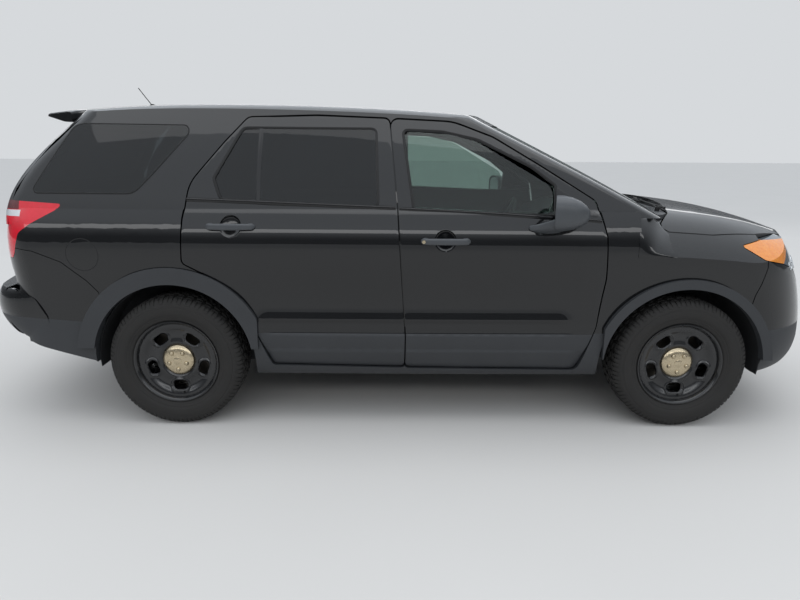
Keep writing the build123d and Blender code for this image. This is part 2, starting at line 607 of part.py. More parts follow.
def make_spoiler():
    """The roof spoiler over the tailgate's glass: it carries the roof's crown on to a thin lip."""
    side = rounded([(-1905, 1690, 4), (-1905, 1800, 4), (-2070, 1800, 4), (-2098, 1716, 6), (-2030, 1692, 20)])
    blade = full_block(side, 600) & loft_crown(ROOF_ROWS, ROOF_CROWN)
    ends = plan_block(polygon([(-1900, -610), (-1900, 610), (-2030, 590), (-2090, 350), (-2098, 0),
                               (-2090, -350), (-2030, -590)]), 1600, 1900)
    return blade & ends


def make_wipers():
    """Two parked wipers at the foot of the windscreen."""
    arms = None
    for start, end in (((1496, -560, 1226), (1538, -180, 1238)), ((1542, 60, 1226), (1506, 440, 1238))):
        pivot = Pos(start[0], start[1], 1220) * Cylinder(14, 26)
        arm = rod(start, end, 6)
        arms = pivot + arm if arms is None else arms + pivot + arm
    return arms


# The model's nodes and their files

def save(name, shape):
    """Writes one node."""
    export_step(shape, f"parts/{name}.step")


def main():
    """Builds every node and writes it."""
    os.makedirs("parts", exist_ok=True)
    forms = make_forms()
    shell = make_shell(*forms)
    nodes = {}
    layer, screen, panes, quarter = make_glass()
    door_front, door_rear = make_doors(shell)
    cup = [(-946, 1155, -992), (204, 1085, -1000)]
    for (x, z, face), (name, door, pane, outline) in zip(cup, (
            ("rear", door_rear, panes[1], WINDOW_REAR), ("front", door_front, panes[0], WINDOW_FRONT))):
        door = largest(door - Pos(x, face - 60, z) * Sphere(86))
        handle = largest(make_handle(x, z, face) - door, 1000)
        for side, place in (("right", lambda shape: shape), ("left", other_side)):
            nodes[f"door_{name}_{side}"] = place(door)
            nodes[f"window_{name}_{side}"] = place(pane)
            nodes[f"handle_{name}_{side}"] = place(handle)
    side = largest(make_right_side(shell), 1e6)
    nodes["body_side_right"] = side
    nodes["body_side_left"] = other_side(side)
    nodes["quarter_glasses"] = pair(quarter)
    nodes["roof_panel"] = largest(shell & roof_region() - windscreen_region())
    nodes["windscreen"] = screen
    hood, fender, cowl, bumper, opening, intake, lamp, fog = make_front_end(shell, forms)
    nodes["hood"] = largest(hood)
    nodes["fenders"] = pair(largest(fender))
    nodes["cowl"] = cowl
    nodes["front_bumper"] = largest(bumper, 1e6)
    nodes["front_lamps"] = Compound(children=[*pair(lamp).solids(), *pair(fog).solids()])
    nodes["grille"] = make_grille(opening, intake)
    gate, window, rear_bumper, tail_lamp = make_rear_end(shell, forms)
    nodes["tailgate"] = largest(gate)
    nodes["tailgate_glass"] = layer & window & tailgate_region()
    nodes["spoiler"] = make_spoiler() - shell
    nodes["rear_bumper"] = largest(rear_bumper)
    nodes["tail_lamps"] = pair(largest(tail_lamp))
    nodes["arch_mouldings"] = pair(largest(make_mouldings(forms[0]), 1000))
    nodes["floor_pan"] = make_floor()
    nodes["front_seats"], nodes["rear_seat"] = make_seats()
    nodes["dashboard"] = make_dashboard()
    nodes["steering_wheel"] = make_steering_wheel()
    nodes["front_structure"] = make_front_structure()
    nodes["engine"] = fillet(box_between((1420, -330, 330), (1960, 330, 960)).edges(), 30)
    (nodes["front_subframe"], nodes["rear_subframe"], nodes["exhaust"], nodes["fuel_tank"],
     nodes["driveshaft"]) = make_underbody()
    mirror_right = largest(make_mirror() - shell)
    nodes["mirror_right"] = mirror_right
    nodes["mirror_left"] = other_side(mirror_right)
    nodes["wipers"] = make_wipers()
    foot = Pos(-1680, 0, 1806) * Cone(26, 12, 30)
    nodes["antenna"] = foot + rod((-1680, 0, 1812), (-1770, 0, 1935), 4) - shell
    tyre, rim = make_wheel()
    knuckle = make_knuckle()
    nodes["knuckle_right"] = knuckle
    nodes["knuckle_left"] = other_side(knuckle)
    for axle, x in (("front", FRONT_AXLE), ("rear", REAR_AXLE)):
        for part_name, shape in (("tyre", tyre), ("wheel", rim)):
            placed = Pos(x, -HALF_TRACK, HUB_Z) * shape
            nodes[f"{part_name}_{axle}_right"] = placed
            nodes[f"{part_name}_{axle}_left"] = other_side(placed)
    for name, shape in nodes.items():
        save(name, shape)


main()
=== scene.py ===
"""The looks of a police sport utility vehicle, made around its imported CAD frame."""

import logging
import math
from contextlib import contextmanager
from dataclasses import dataclass
from enum import Enum
from typing import Callable, Iterator, Optional, Sequence

import bmesh
import bpy
import numpy as np
from mathutils import Matrix, Vector, geometry
from mathutils.bvhtree import BVHTree


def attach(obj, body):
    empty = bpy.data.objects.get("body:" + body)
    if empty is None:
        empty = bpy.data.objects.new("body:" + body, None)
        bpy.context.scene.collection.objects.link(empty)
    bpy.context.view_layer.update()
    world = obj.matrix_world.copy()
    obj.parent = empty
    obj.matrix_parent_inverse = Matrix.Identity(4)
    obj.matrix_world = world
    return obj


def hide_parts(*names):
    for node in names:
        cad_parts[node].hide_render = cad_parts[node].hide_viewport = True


logging.basicConfig(level=logging.INFO, format="%(message)s")
LOG = logging.getLogger("vehicle")
MM = 0.001
EDGE_ANGLE = 40.0
ROLLED_SHARP = 50.0
PANEL_SHARP = 32.0
CUT_DISTANCE = 1e-6
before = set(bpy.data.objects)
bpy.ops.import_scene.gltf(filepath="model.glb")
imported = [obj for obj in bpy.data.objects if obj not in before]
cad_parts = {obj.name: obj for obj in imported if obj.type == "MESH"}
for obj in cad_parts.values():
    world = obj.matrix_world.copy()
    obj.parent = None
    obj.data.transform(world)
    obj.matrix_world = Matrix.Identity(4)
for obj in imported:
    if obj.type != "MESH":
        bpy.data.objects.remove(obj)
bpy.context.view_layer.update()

Points = Sequence[Sequence[float]]
Height = Callable[[np.ndarray, np.ndarray], np.ndarray]


class Side(Enum):
    """The two sides of the vehicle, with the sign of Y there."""

    RIGHT = -1
    LEFT = 1

    @property
    def word(self) -> str:
        """The side's name as the frame's nodes spell it."""
        return self.name.lower()


class Relief(Enum):
    """What a surface's fine relief looks like."""

    PEEL = "peel"
    GRAIN = "grain"
    WEAVE = "weave"
    BRUSHED = "brushed"
    FACETS = "facets"
    SMOOTH = "smooth"


# Finishes

def linear(code: str) -> tuple[float, float, float, float]:
    """Turns an sRGB hex colour into linear light.

    Args:
        code: six hex digits.

    Returns:
        Red, green, blue and an alpha of 1.
    """
    parts = [int(code[at:at + 2], 16) / 255 for at in (0, 2, 4)]
    light = [part / 12.92 if part <= 0.04045 else ((part + 0.055) / 1.055) ** 2.4 for part in parts]
    return (*light, 1.0)


def add_node(tree: bpy.types.NodeTree, kind: str, inputs: Optional[dict] = None,
             **settings) -> bpy.types.Node:
    """Adds one node with its settings, values and links.

    Args:
        tree: the node tree.
        kind: the node's type name.
        inputs: a value or a source socket for each named input.
        settings: the node's own properties.

    Returns:
        The new node.
    """
    made = tree.nodes.new(kind)
    for key, value in settings.items():
        setattr(made, key, value)
    for key, value in (inputs or {}).items():
        if isinstance(value, bpy.types.NodeSocket):
            tree.links.new(value, made.inputs[key])
        else:
            made.inputs[key].default_value = value
    return made


@dataclass(frozen=True)
class Finish:
    """One real surface: its colours, gloss and fine relief, with every scale in millimetres."""

    name: str
    colour: str
    shade: str
    rough_low: float
    rough_high: float
    metallic: float = 0.0
    coat: float = 0.0
    specular: float = 0.5
    clear: float = 0.0
    ior: float = 1.5
    relief: Relief = Relief.GRAIN
    relief_mm: float = 2.0
    relief_depth: float = 0.1
    cloud_mm: float = 180.0

    def material(self) -> bpy.types.Material:
        """Gives the finish's material, made once.

        Returns:
            The material.
        """
        known = bpy.data.materials.get(self.name)
        if known:
            return known
        made = bpy.data.materials.new(self.name)
        made.use_nodes = True
        tree = made.node_tree
        shader = tree.nodes["Principled BSDF"]
        shader.inputs["Metallic"].default_value = self.metallic
        shader.inputs["IOR"].default_value = self.ior
        shader.inputs["Coat Weight"].default_value = self.coat
        shader.inputs["Coat Roughness"].default_value = 0.03
        shader.inputs["Specular IOR Level"].default_value = self.specular
        shader.inputs["Transmission Weight"].default_value = self.clear
        place = add_node(tree, "ShaderNodeTexCoord").outputs["Object"]
        clouds = add_node(tree, "ShaderNodeTexNoise", {
            "Vector": place, "Scale": 1 / (self.cloud_mm * MM), "Detail": 4.0, "Roughness": 0.6})
        mixed = add_node(tree, "ShaderNodeMix", {
            "Factor": clouds.outputs["Fac"], "A": linear(self.colour), "B": linear(self.shade)},
            data_type="RGBA")
        tree.links.new(mixed.outputs["Result"], shader.inputs["Base Color"])
        rough = add_node(tree, "ShaderNodeMapRange", {
            "Value": clouds.outputs["Fac"], "To Min": self.rough_low, "To Max": self.rough_high})
        tree.links.new(rough.outputs["Result"], shader.inputs["Roughness"])
        height = self.relief_socket(tree, place)
        if height:
            bump = add_node(tree, "ShaderNodeBump", {
                "Height": height, "Strength": self.relief_depth, "Distance": self.relief_mm * MM * 0.3})
            tree.links.new(bump.outputs["Normal"], shader.inputs["Normal"])
        return made

    def relief_socket(self, tree: bpy.types.NodeTree,
                      place: bpy.types.NodeSocket) -> Optional[bpy.types.NodeSocket]:
        """Gives the height of the fine relief.

        Args:
            tree: the material's tree.
            place: the object coordinates.

        Returns:
            A socket with the height, or None for a smooth surface.
        """
        scale = 1 / (self.relief_mm * MM)
        if self.relief is Relief.SMOOTH:
            return None
        if self.relief is Relief.WEAVE:
            waves = [add_node(tree, "ShaderNodeTexWave",
                              {"Vector": place, "Scale": scale / 6, "Distortion": 0.6},
                              wave_type="BANDS", bands_direction=way).outputs["Fac"] for way in ("X", "Z")]
            return add_node(tree, "ShaderNodeMath", {0: waves[0], 1: waves[1]},
                            operation="MULTIPLY").outputs[0]
        if self.relief is Relief.FACETS:
            return add_node(tree, "ShaderNodeTexVoronoi",
                            {"Vector": place, "Scale": scale}).outputs["Distance"]
        if self.relief is Relief.BRUSHED:
            turned = add_node(tree, "ShaderNodeMapping", {"Vector": place, "Scale": (1.0, 1.0, 14.0)})
            place = turned.outputs["Vector"]
        detail = 1.0 if self.relief is Relief.PEEL else 3.0
        return add_node(tree, "ShaderNodeTexNoise",
                        {"Vector": place, "Scale": scale, "Detail": detail}).outputs["Fac"]


# Two-coat black enamel: a deep, wet gloss with a very soft orange peel and a trace of road dust
PAINT = Finish("black_clearcoat_paint", "040507", "08090C", 0.30, 0.40, coat=1.0, specular=0.12,
               relief=Relief.PEEL, relief_mm=9, relief_depth=0.015, cloud_mm=600)
# Grained polypropylene of the cladding: dark grey, faded a little where sun and water reach it
PLASTIC = Finish("grained_polypropylene", "2B2D30", "35373A", 0.48, 0.62, relief_mm=2.4, relief_depth=0.35)
# Smooth ABS of the mirror shells and handles: a dull satin grey
SATIN_PLASTIC = Finish("satin_moulded_abs", "3E4144", "484B4F", 0.34, 0.44, relief_mm=3, relief_depth=0.12)
# Deep black ABS for grille bars and window frames
BLACK_ABS = Finish("gloss_black_abs", "0B0B0C", "111113", 0.14, 0.22, relief=Relief.SMOOTH)
# EPDM rubber of the seals and hoses: soft black with no sheen
RUBBER = Finish("epdm_rubber", "0D0D0E", "151516", 0.62, 0.75, relief_mm=3, relief_depth=0.2)
# Vulcanised tyre rubber: dusty charcoal, browner where it has rolled through dirt
TYRE = Finish("vulcanised_tyre_rubber", "1B1B1B", "2B2927", 0.74, 0.88, relief_mm=4, relief_depth=0.4,
              cloud_mm=60)
# Stoved enamel on pressed steel: black with a hard even gloss
WHEEL_ENAMEL = Finish("stoved_black_enamel", "0C0D0F", "121316", 0.22, 0.32, coat=0.4, relief=Relief.PEEL,
                      relief_mm=5, relief_depth=0.03)
# Polished stainless pressing: pale, with a warm cast painted into its colour as the reflection of what it
# mirrors
STAINLESS = Finish("polished_stainless", "CDBFA4", "B5A78C", 0.20, 0.34, metallic=1.0, relief=Relief.PEEL,
                   relief_mm=14, relief_depth=0.25, cloud_mm=26)
# Vacuum-metallised reflector: bright silver with faint flutes
CHROME = Finish("metallised_reflector", "D9DCDF", "C2C6CA", 0.08, 0.14, metallic=1.0, relief=Relief.FACETS,
                relief_mm=16, relief_depth=0.3)
# Moulded acrylic of the tail lamps: deep red with prisms behind the skin
RED_LENS = Finish("red_acrylic", "C00A1C", "E01C34", 0.08, 0.12, coat=1.0, specular=0.2, relief=Relief.FACETS,
                  relief_mm=10, relief_depth=0.12, cloud_mm=60)
# The tail lamp's inner chamber, seen through more of the same acrylic
DARK_RED_LENS = Finish("deep_red_acrylic", "4A070D", "5E0A12", 0.08, 0.12, coat=1.0, specular=0.2,
                       relief=Relief.FACETS, relief_mm=8, relief_depth=0.2, cloud_mm=40)
# The amber reflector and turn lens: real amber, with paler clouds that are painted highlights
AMBER_LENS = Finish("amber_acrylic", "D06A14", "F0A040", 0.10, 0.16, coat=1.0, specular=0.3,
                    relief=Relief.FACETS,
                    relief_mm=12, relief_depth=0.4, cloud_mm=22)
# The clear reversing section over white prisms
WHITE_LENS = Finish("clear_acrylic_over_white", "D8DADC", "C4C8CC", 0.08, 0.12, coat=1.0,
                    relief=Relief.FACETS,
                    relief_mm=9, relief_depth=0.2)
# Clear polycarbonate over the lamp's dark bezel: grey, with a hard shine
LENS = Finish("clear_polycarbonate", "3C4247", "6A7278", 0.04, 0.08, coat=1.0, relief=Relief.PEEL,
              relief_mm=30, relief_depth=0.05, cloud_mm=46)
# Solar laminated glass of the windscreen and front doors: a faint green
CLEAR_GLASS = Finish("laminated_green_glass", "9FB3AB", "A6BAB2", 0.0, 0.01, clear=1.0, ior=1.45,
                     relief=Relief.SMOOTH)
# Privacy glass of the rear cabin: nearly black from outside
DARK_GLASS = Finish("privacy_glass", "2B302F", "30363A", 0.0, 0.01, clear=0.92, ior=1.45,
                    relief=Relief.SMOOTH)
# Woven seat cloth: charcoal with a coarse heather
CLOTH = Finish("woven_seat_cloth", "25272A", "34363A", 0.85, 0.95, relief=Relief.WEAVE, relief_mm=5,
               relief_depth=0.6, cloud_mm=12)
# Vinyl floor covering
CARPET = Finish("moulded_floor_covering", "17181A", "212225", 0.85, 0.95, relief_mm=5, relief_depth=0.7,
                cloud_mm=40)
# Soft grained dashboard skin
DASH_SKIN = Finish("slush_moulded_dash_skin", "1C1D20", "232428", 0.55, 0.65, relief_mm=3, relief_depth=0.3)
# Electro-coated body steel under the floor, dulled with road film
UNDERCOAT = Finish("electrocoated_steel", "15161A", "24221F", 0.55, 0.75, relief_mm=6, relief_depth=0.3)
# Cast and forged steel of the suspension
CAST_STEEL = Finish("cast_steel", "4A4743", "35312D", 0.5, 0.7, metallic=0.8, relief_mm=4, relief_depth=0.4,
                    cloud_mm=50)
# Machined face of the brake rotor
ROTOR_STEEL = Finish("machined_iron", "77736C", "5C5750", 0.35, 0.5, metallic=1.0, relief=Relief.BRUSHED)
# Aluminised exhaust pipe, browned near the joints
EXHAUST = Finish("aluminised_exhaust_steel", "8C877E", "6C6156", 0.4, 0.55, metallic=0.9, cloud_mm=90)
# Sand-cast alloy of the engine
ALLOY = Finish("sand_cast_alloy", "7C7E80", "66686A", 0.5, 0.65, metallic=0.8, relief_mm=4, relief_depth=0.5)


# Shapes

class Spline:
    """A natural cubic spline through a few stations."""

    def __init__(self, places: Sequence[float], values: Sequence[float]) -> None:
        """Solves the spline.

        Args:
            places: the stations, rising.
            values: the value at each.
        """
        self.places, self.values = np.array(places, float), np.array(values, float)
        count, gaps = len(places), np.diff(self.places)
        table, right = np.eye(count), np.zeros(count)
        for at in range(1, count - 1):
            table[at, at - 1:at + 2] = gaps[at - 1], 2 * (gaps[at - 1] + gaps[at]), gaps[at]
            slopes = np.diff(self.values)[at - 1:at + 1] / gaps[at - 1:at + 1]
            right[at] = 6 * (slopes[1] - slopes[0])
        self.bends = np.linalg.solve(table, right)

    def __call__(self, place: np.ndarray) -> np.ndarray:
        """Gives the value at places between the first and last station.

        Args:
            place: where to read the spline.

        Returns:
            The values there.
        """
        place = np.clip(np.asarray(place, float), self.places[0], self.places[-1])
        at = np.clip(np.searchsorted(self.places, place) - 1, 0, len(self.places) - 2)
        gap = self.places[at + 1] - self.places[at]
        a, b = (self.places[at + 1] - place) / gap, (place - self.places[at]) / gap
        bend = ((a ** 3 - a) * self.bends[at] + (b ** 3 - b) * self.bends[at + 1]) * gap ** 2 / 6
        return a * self.values[at] + b * self.values[at + 1] + bend


@dataclass(frozen=True)
class SideForm:
    """The side of a body form, in millimetres.

    Each row holds a level, and the half width, front end and rear end there; then come the three bows.
    """

    rows: tuple
    bows: tuple

    def half_width(self, x: np.ndarray, z: np.ndarray) -> np.ndarray:
        """How far out the side stands.

        Args:
            x: places along the car.
            z: heights.

        Returns:
            The distance from the middle of the car.
        """
        levels = [row[0] for row in self.rows]
        half, front, rear = [Spline(levels, [row[at] for row in self.rows])(z) for at in (1, 2, 3)]
        front_bow, rear_bow, side_bow = self.bows
        ahead, behind = front - front_bow, rear + rear_bow
        radius = ((ahead - behind) ** 2 / 4 + side_bow ** 2) / (2 * side_bow)
        return half - radius + np.sqrt(radius ** 2 - (x - (ahead + behind) / 2) ** 2)


# The two forms of the body's side, and the levels at the belt where one gives way to the other
LOWER_BODY = SideForm(((290, 908, 2400, -2300), (520, 980, 2503, -2328), (700, 976, 2486, -2338),
                       (960, 1000, 2390, -2345), (1130, 992, 2275, -2340), (1300, 905, 2100, -2300)),
                       (290, 150, 36))
GREENHOUSE = SideForm(((1150, 958, 1640, -2322), (1340, 896, 1285, -2282), (1600, 778, 772, -2085),
                       (1850, 640, 270, -1850)), (168, 118, 30))
BELT_ROWS = (1224, 1230, 1236, 1242, 1248)


def ramp(value: np.ndarray, low: float, high: float) -> np.ndarray:
    """A smooth rise from 0 to 1.

    Args:
        value: where to read it.
        low: where it leaves 0.
        high: where it reaches 1.

    Returns:
        The share risen.
    """
    share = np.clip((value - low) / (high - low), 0, 1)
    return share * share * (3 - 2 * share)


def skin(x: np.ndarray, z: np.ndarray) -> np.ndarray:
    """The outer side of the whole body, in metres.

    Args:
        x: places along the car, in metres.
        z: heights, in metres.

    Returns:
        The distance from the middle of the car.
    """
    x, z = np.asarray(x) / MM, np.asarray(z) / MM
    low, high = LOWER_BODY.half_width(x, z), GREENHOUSE.half_width(x, z)
    share = ramp(z, BELT_ROWS[0], BELT_ROWS[-1])
    tub = np.where(z < 1150, low, np.maximum(low, high))
    return (tub + (high - tub) * share) * MM


def rounded(rows: Points, step: float = 0.016) -> np.ndarray:
    """Points along a closed outline with rounded corners.

    Args:
        rows: two coordinates and a corner radius each, in millimetres.
        step: the longest run between points, in metres.

    Returns:
        The points, in metres.
    """
    corners, radii = [Vector(row[:2]) * MM for row in rows], [row[2] * MM for row in rows]
    found: list[Vector] = []
    for at, corner in enumerate(corners):
        before, after = corners[at - 1] - corner, corners[(at + 1) % len(corners)] - corner
        half_turn = before.angle(after) / 2
        cut = min(radii[at] / math.tan(half_turn), before.length * 0.49, after.length * 0.49)
        radius = cut * math.tan(half_turn)
        centre = corner + (before.normalized()
                           + after.normalized()).normalized() * (radius / math.sin(half_turn))
        start, end = corner + before.normalized() * cut - centre, corner + after.normalized() * cut - centre
        first = math.atan2(start.y, start.x)
        turn = (math.atan2(end.y, end.x) - first + math.pi) % (2 * math.pi) - math.pi
        steps = max(2, math.ceil(abs(turn) * radius / step))
        for number in range(steps + 1):
            angle = first + turn * number / steps
            found.append(centre + Vector((math.cos(angle), math.sin(angle))) * radius)
    spaced: list[Vector] = []
    for at, point in enumerate(found):
        following = found[(at + 1) % len(found)]
        count = max(1, math.ceil((following - point).length / step))
        if (following - point).length > 1e-5:
            spaced += [point.lerp(following, number / count) for number in range(count)]
    return np.array([tuple(point) for point in spaced])


def circle(x: float, z: float, radius: float, count: int = 40) -> np.ndarray:
    """Points on a circle, all in metres.

    Args:
        x: the middle's first coordinate.
        z: the middle's second coordinate.
        radius: the circle's radius.
        count: how many points.

    Returns:
        The points.
    """
    angles = np.linspace(0, 2 * math.pi, count, endpoint=False)
    return np.stack([x + radius * np.cos(angles), z + radius * np.sin(angles)], 1)


def inside(points: np.ndarray, loop: np.ndarray) -> np.ndarray:
    """Tells which points lie inside a closed loop.

    Args:
        points: rows of two coordinates.
        loop: the loop's corners.

    Returns:
        True for each point inside.
    """
    x, y = points[:, :1], points[:, 1:]
    x0, y0 = loop[:, 0], loop[:, 1]
    x1, y1 = np.roll(x0, -1), np.roll(y0, -1)
    rise = np.where(np.abs(y1 - y0) < 1e-12, 1e-12, y1 - y0)
    crossed = ((y0 > y) != (y1 > y)) & (x < (x1 - x0) * (y - y0) / rise + x0)
    return crossed.sum(1) % 2 == 1


def apart(points: np.ndarray, loop: np.ndarray) -> np.ndarray:
    """How far each point is from a closed loop.

    Args:
        points: rows of two coordinates.
        loop: the loop's corners.

    Returns:
        The distances.
    """
    run = np.roll(loop, -1, 0) - loop
    away = points[:, None, :] - loop[None, :, :]
    share = np.clip((away * run).sum(2) / np.maximum((run * run).sum(1), 1e-12), 0, 1)
    return np.sqrt(((away - share[:, :, None] * run) ** 2).sum(2)).min(1)


def inset(loop: np.ndarray, by: float) -> np.ndarray:
    """A closed loop moved inwards along its own normals.

    Args:
        loop: the loop's corners.
        by: how far, in the loop's unit, or outwards if below 0.

    Returns:
        The moved corners.
    """
    along = np.roll(loop, -1, 0) - np.roll(loop, 1, 0)
    along /= np.maximum(np.linalg.norm(along, axis=1, keepdims=True), 1e-12)
    normal = np.stack([-along[:, 1], along[:, 0]], 1)
    area = (loop[:, 0] * np.roll(loop[:, 1], -1) - np.roll(loop[:, 0], -1) * loop[:, 1]).sum()
    return loop + normal * (by if area > 0 else -by)


def triangulate(outer: np.ndarray, holes: Sequence[np.ndarray], spacing: float,
                extra: Optional[np.ndarray] = None) -> tuple[np.ndarray, np.ndarray]:
    """Fills a flat outline with evenly spaced triangles.

    Args:
        outer: the outline.
        holes: closed loops cut out of it.
        spacing: the distance between the points inside.
        extra: more points to pass through.

    Returns:
        The points, and the triangles as rows of three, all turning left.
    """
    low, high = outer.min(0), outer.max(0)
    grid = np.stack(np.meshgrid(np.arange(low[0], high[0], spacing), np.arange(low[1], high[1], spacing)), -1)
    grid = grid.reshape(-1, 2)
    grid[:, 0] += (np.round((grid[:, 1] - low[1]) / spacing) % 2) * spacing / 2
    loops = [outer, *holes]
    keep = inside(grid, outer)
    for loop in holes:
        keep &= ~inside(grid, loop)
    grid = grid[keep]
    for loop in loops:
        grid = grid[apart(grid, loop) > spacing * 0.45]
    if extra is not None:
        fit = inside(extra, outer)
        for loop in holes:
            fit &= ~inside(extra, loop)
        extra = extra[fit]
        gaps = np.array([np.hypot(*(extra - point).T).min() if len(extra) else 1.0 for point in grid])
        grid = np.concatenate([grid[gaps > spacing * 0.35], extra])
    corners, edges = [], []
    for loop in loops:
        first = len(corners)
        corners += [tuple(point) for point in loop]
        edges += [(first + at, first + (at + 1) % len(loop)) for at in range(len(loop))]
    corners += [tuple(point) for point in grid]
    result = geometry.delaunay_2d_cdt([Vector(point) for point in corners], edges, [], 0, 1e-7)
    flat = np.array([tuple(point) for point in result[0]])
    faces = np.array([face for face in result[2] if len(face) == 3])
    middle = flat[faces].mean(1)
    keep = inside(middle, outer)
    for loop in holes:
        keep &= ~inside(middle, loop)
    faces = faces[keep]
    a, b, c = flat[faces[:, 0]], flat[faces[:, 1]], flat[faces[:, 2]]
    turn = (b[:, 0] - a[:, 0]) * (c[:, 1] - a[:, 1]) - (b[:, 1] - a[:, 1]) * (c[:, 0] - a[:, 0])
    faces[turn < 0] = faces[turn < 0][:, ::-1]
    return flat, faces[np.abs(turn) > 1e-12]


def placed(name: str, data: bpy.types.ID) -> bpy.types.Object:
    """Puts a mesh, lamp or camera into the scene as an object."""
    made = bpy.data.objects.new(name, data)
    bpy.context.scene.collection.objects.link(made)
    return made


def dress(piece: bpy.types.Object, material: bpy.types.Material) -> None:
    """Gives a piece one material alone."""
    piece.data.materials.clear()
    piece.data.materials.append(material)


def points_of(mesh: bpy.types.Mesh) -> np.ndarray:
    """Gives a mesh's points as rows."""
    return np.array([tuple(vertex.co) for vertex in mesh.vertices])


def ray_tree(mesh: bpy.types.Mesh) -> BVHTree:
    """Gives a tree of a mesh's faces, to be read by rays."""
    return BVHTree.FromPolygons([v.co for v in mesh.vertices],
                                [tuple(face.vertices) for face in mesh.polygons])


@contextmanager
def edited(mesh: bpy.types.Mesh) -> Iterator[bmesh.types.BMesh]:
    """Opens a mesh for an edit and writes it back.

    Args:
        mesh: the mesh.

    Returns:
        The form to edit, for the length of the with block.
    """
    form = bmesh.new()
    form.from_mesh(mesh)
    yield form
    form.to_mesh(mesh)
    form.free()


def cut(form: bmesh.types.BMesh, point: Sequence[float], normal: Sequence[float]) -> None:
    """Cuts a form's faces along a plane and keeps both sides."""
    bmesh.ops.bisect_plane(form, geom=[*form.verts, *form.edges, *form.faces], plane_co=point,
                           plane_no=normal,
                           dist=CUT_DISTANCE)


def new_object(name: str, verts: Sequence, faces: Sequence, finish: Finish,
               sharp: float = 35.0) -> bpy.types.Object:
    """Makes a mesh object with one finish, smooth but for its sharp edges.

    Args:
        name: the object's name.
        verts: the points, in metres.
        faces: rows of point numbers.
        finish: its finish.
        sharp: the angle in degrees from which an edge stays sharp.

    Returns:
        The object, linked to the scene.
    """
    mesh = bpy.data.meshes.new(name)
    mesh.from_pydata([tuple(map(float, point)) for point in verts], [],
                     [tuple(map(int, face)) for face in faces])
    mesh.validate()
    mesh.shade_smooth()
    mesh.set_sharp_from_angle(angle=math.radians(sharp))
    mesh.materials.append(finish.material())
    return placed(name, mesh)


def baked(piece: bpy.types.Object) -> bpy.types.Object:
    """Turns a piece's modifiers into its mesh.

    Args:
        piece: the object.

    Returns:
        The same object with a plain mesh.
    """
    evaluated = piece.evaluated_get(bpy.context.evaluated_depsgraph_get())
    mesh = bpy.data.meshes.new_from_object(evaluated)
    piece.modifiers.clear()
    piece.data = mesh
    return piece


def bevelled(piece: bpy.types.Object, width: float, segments: int = 2) -> bpy.types.Object:
    """Rolls a piece's sharp edges.

    Args:
        piece: the object.
        width: the edge's width in metres.
        segments: faces across the edge.

    Returns:
        The same object.
    """
    edge = piece.modifiers.new("edge", "BEVEL")
    edge.width, edge.segments, edge.angle_limit = width, segments, math.radians(EDGE_ANGLE)
    edge.limit_method = "ANGLE"
    piece = baked(piece)
    piece.data.set_sharp_from_angle(angle=math.radians(ROLLED_SHARP))
    return piece


def joined(name: str, pieces: Sequence[bpy.types.Object]) -> bpy.types.Object:
    """Joins several pieces into one, keeping their materials.

    Args:
        name: the new name.
        pieces: the objects.

    Returns:
        The joined object.
    """
    bpy.ops.object.select_all(action="DESELECT")
    for piece in pieces:
        piece.select_set(True)
    bpy.context.view_layer.objects.active = pieces[0]
    bpy.ops.object.join()
    pieces[0].name = name
    return pieces[0]


def swapped(piece: bpy.types.Object) -> bpy.types.Object:
    """Moves a piece to the other side of the car, with its faces still pointing outwards."""
    piece.data.transform(Matrix.Scale(-1, 4, (0, 1, 0)))
    piece.data.flip_normals()
    return piece


def sheet_on(name: str, side: Side, loops: Sequence[np.ndarray], height: Height, depth: float, finish: Finish,
             spacing: float = 0.014, extra: Optional[np.ndarray] = None,
             roll: float = 0.0025) -> bpy.types.Object:
    """A panel of even thickness lifted onto the side of the car.

    Args:
        name: the object's name.
        side: which side.
        loops: the outline and then its holes, in X and Z.
        height: how far out its face stands.
        depth: its thickness.
        finish: its finish.
        spacing: the distance between its points.
        extra: more points to pass through.
        roll: the width of its rolled edge.

    Returns:
        The panel.
    """
    flat, faces = triangulate(loops[0], loops[1:], spacing, extra)
    out = height(flat[:, 0], flat[:, 1])
    front = np.stack([flat[:, 0], side.value * out, flat[:, 1]], 1)
    back = front.copy()
    back[:, 1] -= side.value * depth
    count = len(flat)
    pairs = {(int(face[at]), int(face[(at + 1) % 3])) for face in faces for at in range(3)}
    rim = [(b, a, a + count, b + count) for a, b in pairs if (b, a) not in pairs]
    every = [tuple(face) for face in faces] + [tuple(face[::-1] + count) for face in faces] + rim
    if side is Side.LEFT:
        every = [face[::-1] for face in every]
    made = new_object(name, np.concatenate([front, back]), every, finish)
    return bevelled(made, roll) if roll else made


def trim_on(name: str, side: Side, loop: np.ndarray, height: Height, width: float, rise: float,
            finish: Finish, shut: bool = True) -> bpy.types.Object:
    """A raised strip along a line on the side of the car.

    Args:
        name: the object's name.
        side: which side.
        loop: the line, in X and Z.
        height: how far out the surface stands.
        width: the strip's width.
        rise: how far it stands proud.
        finish: its finish.
        shut: whether the line closes on itself.

    Returns:
        The strip.
    """
    along = np.roll(loop, -1, 0) - np.roll(loop, 1, 0)
    if not shut:
        along[0], along[-1] = loop[1] - loop[0], loop[-1] - loop[-2]
    along /= np.linalg.norm(along, axis=1, keepdims=True)
    normal = np.stack([-along[:, 1], along[:, 0]], 1)
    form = ((-0.5, -0.004), (-0.46, rise * 0.6), (-0.3, rise), (0.3, rise), (0.46, rise * 0.6), (0.5, -0.004))
    rings = []
    for share, up in form:
        flat = loop + normal * share * width
        rings.append(np.stack([flat[:, 0], side.value * (height(loop[:, 0], loop[:, 1]) + up), flat[:, 1]],
                              1))
    return loft(name, rings, finish, shut_rings=shut, shut_across=True)


